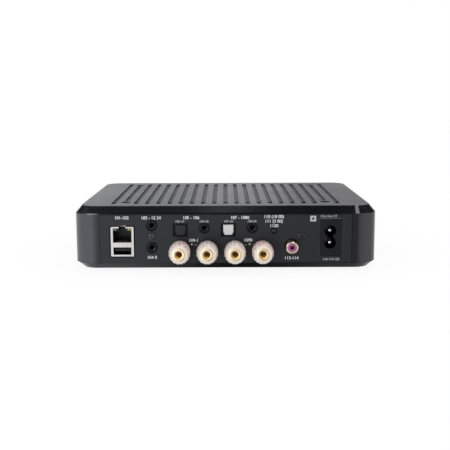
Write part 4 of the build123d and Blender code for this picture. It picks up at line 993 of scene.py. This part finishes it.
finished(extruded, "supply_heat_sink", "amplifier_heat_sink")
finished(metal("tinned_sheet", sheet_group, (0.74, 0.74, 0.72), 0.28, Stain=0.06), "processor_shield")

# The transformer's ferrite core holds a winding under yellow tape, and each capacitor
# has a dark sleeve with a pale stripe and a bare aluminium top.
core_low, core_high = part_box("supply_transformer")
tape_half_wide = 0.00905
tape_half_tall = 0.0079
wound, wound_tree, wound_shader = new_material("taped_ferrite")
wound_place = parts_of(wound_tree, place_of(wound_tree))
aside = off(wound_tree, wound_place["X"], (core_low.x + core_high.x) / 2)
aloft = off(wound_tree, wound_place["Z"], (core_low.z + core_high.z) / 2)
taped = both(wound_tree, under(wound_tree, aside, tape_half_wide), under(wound_tree, aloft, tape_half_tall))
mottle = grain(wound_tree, 700.0, 3.0)
tape = blended(wound_tree, mottle, (0.62, 0.42, 0.06), (0.75, 0.55, 0.12))
ferrite = blended(wound_tree, mottle, (0.04, 0.04, 0.042), (0.08, 0.08, 0.085))
feed(wound_tree, blended(wound_tree, taped, ferrite, tape), wound_shader.inputs["Base Color"])
feed(wound_tree, chosen(wound_tree, taped, 0.6, 0.3), wound_shader.inputs["Roughness"])
feed(wound_tree, bumped(wound_tree, mottle, 0.00005), wound_shader.inputs["Normal"])
finished(wound, "supply_transformer")
top_way, stripe_way = 0.9, 0.93
can, can_tree, can_shader = new_material("capacitor_sleeve")
can_way = facing(can_tree)
can_top = over(can_tree, can_way["Z"], top_way)
can_stripe = over(can_tree, can_way["X"], stripe_way)
can_grain = grain(can_tree, 1200.0, 2.0)
sleeve = blended(can_tree, can_grain, (0.010, 0.013, 0.035), (0.016, 0.020, 0.050))
sleeve = blended(can_tree, can_stripe, sleeve, (0.5, 0.52, 0.55))
feed(can_tree, blended(can_tree, can_top, sleeve, (0.78, 0.78, 0.79)), can_shader.inputs["Base Color"])
feed(can_tree, can_top, can_shader.inputs["Metallic"])
feed(can_tree, spread(can_tree, can_grain, 0.3, 0.7, 0.25, 0.35), can_shader.inputs["Roughness"])
finished(can, "capacitors")


# Studio
# A pale floor and a white surround, whose level in reflections changes with direction. A
# cool soft lamp stands at the camera's left and a weaker one at its right.
scene.view_settings.view_transform = "Standard"
world = bpy.data.worlds.new("studio")
scene.world = world
world.use_nodes = True
sky = world.node_tree
sky.nodes.clear()
most_level = 6.0
beside_stops = (
    (-1.0, 1.4), (-0.5, 1.25), (-0.32, 0.2), (-0.2, 0.0), (-0.1, 0.36), (0.0, 0.82), (0.2, 1.35), (0.5, 2.9),
    (1.0, 2.2))
beyond_stops = (
    (-1.0, 0.7), (-0.6, 0.75), (-0.2, 0.8), (-0.08, 0.8), (-0.06, 1.05), (0.02, 1.12), (0.045, 1.0),
    (0.1, 0.95), (0.2, 1.3), (0.6, 0.8), (1.0, 1.3))
overhead_stops = (
    (-1.0, 0.1), (-0.37, 0.1), (-0.36, 4.4), (-0.2, 4.4), (-0.19, 0.0), (-0.1, 0.03),
    (-0.025, 0.12), (-0.012, 0.98), (0.014, 0.98), (0.025, 0.12), (0.2, 0.18), (1.0, 0.3))
beneath_stops = (
    (-1.0, 0.8), (-0.146, 0.33), (-0.103, 0.2), (-0.082, 0.08), (-0.018, 0.0), (0.014, 0.0), (0.036, 0.08),
    (0.057, 0.28), (0.078, 0.38), (0.143, 0.65), (1.0, 1.0))


def levels(tree, value, stops):
    """Level read off a line through stops, each a place from -1 to 1 and a level up to most_level."""
    node = tree.nodes.new("ShaderNodeValToRGB")
    line = node.color_ramp.elements
    while len(line) < len(stops):
        line.new(0.5)
    for element, (place, level) in zip(line, stops):
        share = level / most_level
        element.position = (place + 1) / 2
        element.color = (share, share, share, 1.0)
    feed(tree, spread(tree, value, -1.0, 1.0), node.inputs["Fac"])
    return maths(tree, "MULTIPLY", node.outputs["Color"], most_level)


def between(tree, factor, first, second):
    """Value between two values."""
    node = tree.nodes.new("ShaderNodeMix")
    feed(tree, factor, node.inputs[0])
    feed(tree, first, node.inputs[2])
    feed(tree, second, node.inputs[3])
    return node.outputs[0]


direction = parts_of(sky, sky.nodes.new("ShaderNodeTexCoord").outputs["Generated"])
all_stops = (beside_stops, beyond_stops, overhead_stops, beneath_stops)
beside, beyond, overhead, beneath = [levels(sky, direction["X"], stops) for stops in all_stops]
beyond = maths(sky, "MULTIPLY", beyond, spread(sky, direction["Z"], 0.03, 0.3, 1.2, 0.05))
mirrored = between(sky, spread(sky, direction["Y"], -0.3, 0.3), beyond, beside)
mirrored = between(sky, spread(sky, direction["Z"], 0.35, 0.8), mirrored, overhead)
mirrored = between(sky, spread(sky, direction["Z"], -0.35, -0.8), mirrored, beneath)

diffuse_level = 0.85
background = sky.nodes.new("ShaderNodeBackground")
cool_side = spread(sky, direction["X"], -0.2, 0.3)
coolness = maths(sky, "MULTIPLY", cool_side, spread(sky, direction["Y"], -0.3, 0.3, 0.3, 1.0))
tint = blended(sky, coolness, (1.0, 0.99, 1.02), (0.87, 0.95, 1.04))
rays = sky.nodes.new("ShaderNodeLightPath").outputs
plain = between(sky, rays["Is Camera Ray"], diffuse_level, 1.0)
in_mirror = maths(sky, "MAXIMUM", rays["Is Glossy Ray"], rays["Is Transmission Ray"])
feed(sky, blended(sky, in_mirror, (1.0, 1.0, 1.0), tint), background.inputs["Color"])
feed(sky, between(sky, in_mirror, plain, mirrored), background.inputs["Strength"])
surround = sky.nodes.new("ShaderNodeOutputWorld")
feed(sky, background.outputs["Background"], surround.inputs["Surface"])

floor_half = 3.0
floor_glow = 0.88
glow_level = 1.03
floor_mesh = bpy.data.meshes.new("floor")
floor_corners = bar(-floor_half, floor_half, -floor_half, floor_half)
floor_mesh.from_pydata([(x, y, 0) for x, y in floor_corners], [], [(0, 1, 2, 3)])
floor = bpy.data.objects.new("floor", floor_mesh)
scene.collection.objects.link(floor)
paper, paper_tree, paper_shader = new_material("paper")
feed(paper_tree, (0.9, 0.9, 0.9), paper_shader.inputs["Base Color"])
paper_shader.inputs["Roughness"].default_value = 0.9
paper_output = next(node for node in paper_tree.nodes if node.type == "OUTPUT_MATERIAL")
glow = paper_tree.nodes.new("ShaderNodeEmission")
glow.inputs["Strength"].default_value = glow_level
lit_paper = paper_tree.nodes.new("ShaderNodeMixShader")
paper_rays = paper_tree.nodes.new("ShaderNodeLightPath").outputs
glow_share = maths(paper_tree, "MULTIPLY", paper_rays["Is Camera Ray"], floor_glow)
feed(paper_tree, glow_share, lit_paper.inputs["Fac"])
feed(paper_tree, paper_shader.outputs["BSDF"], lit_paper.inputs[1])
feed(paper_tree, glow.outputs["Emission"], lit_paper.inputs[2])
feed(paper_tree, lit_paper.outputs["Shader"], paper_output.inputs["Surface"])
floor_mesh.materials.append(paper)
floor.visible_glossy = False


def soft_lamp(name, place, aim, size, power, colour):
    """Square lamp at one place, facing another."""
    data = bpy.data.lights.new(name, "AREA")
    data.size = size
    data.energy = power
    data.color = colour
    lamp = bpy.data.objects.new(name, data)
    lamp.location = place
    lamp.rotation_euler = (Vector(aim) - Vector(place)).to_track_quat("-Z", "Y").to_euler()
    scene.collection.objects.link(lamp)


lamp_aim = (0.0, 0.05, 0.02)
soft_lamp("left_lamp", (1.1, 1.0, 0.5), lamp_aim, 0.6, 3.0, (0.88, 0.94, 1.0))
soft_lamp("right_lamp", (-1.1, 0.8, 0.4), lamp_aim, 0.4, 0.8, (1.0, 0.98, 0.96))
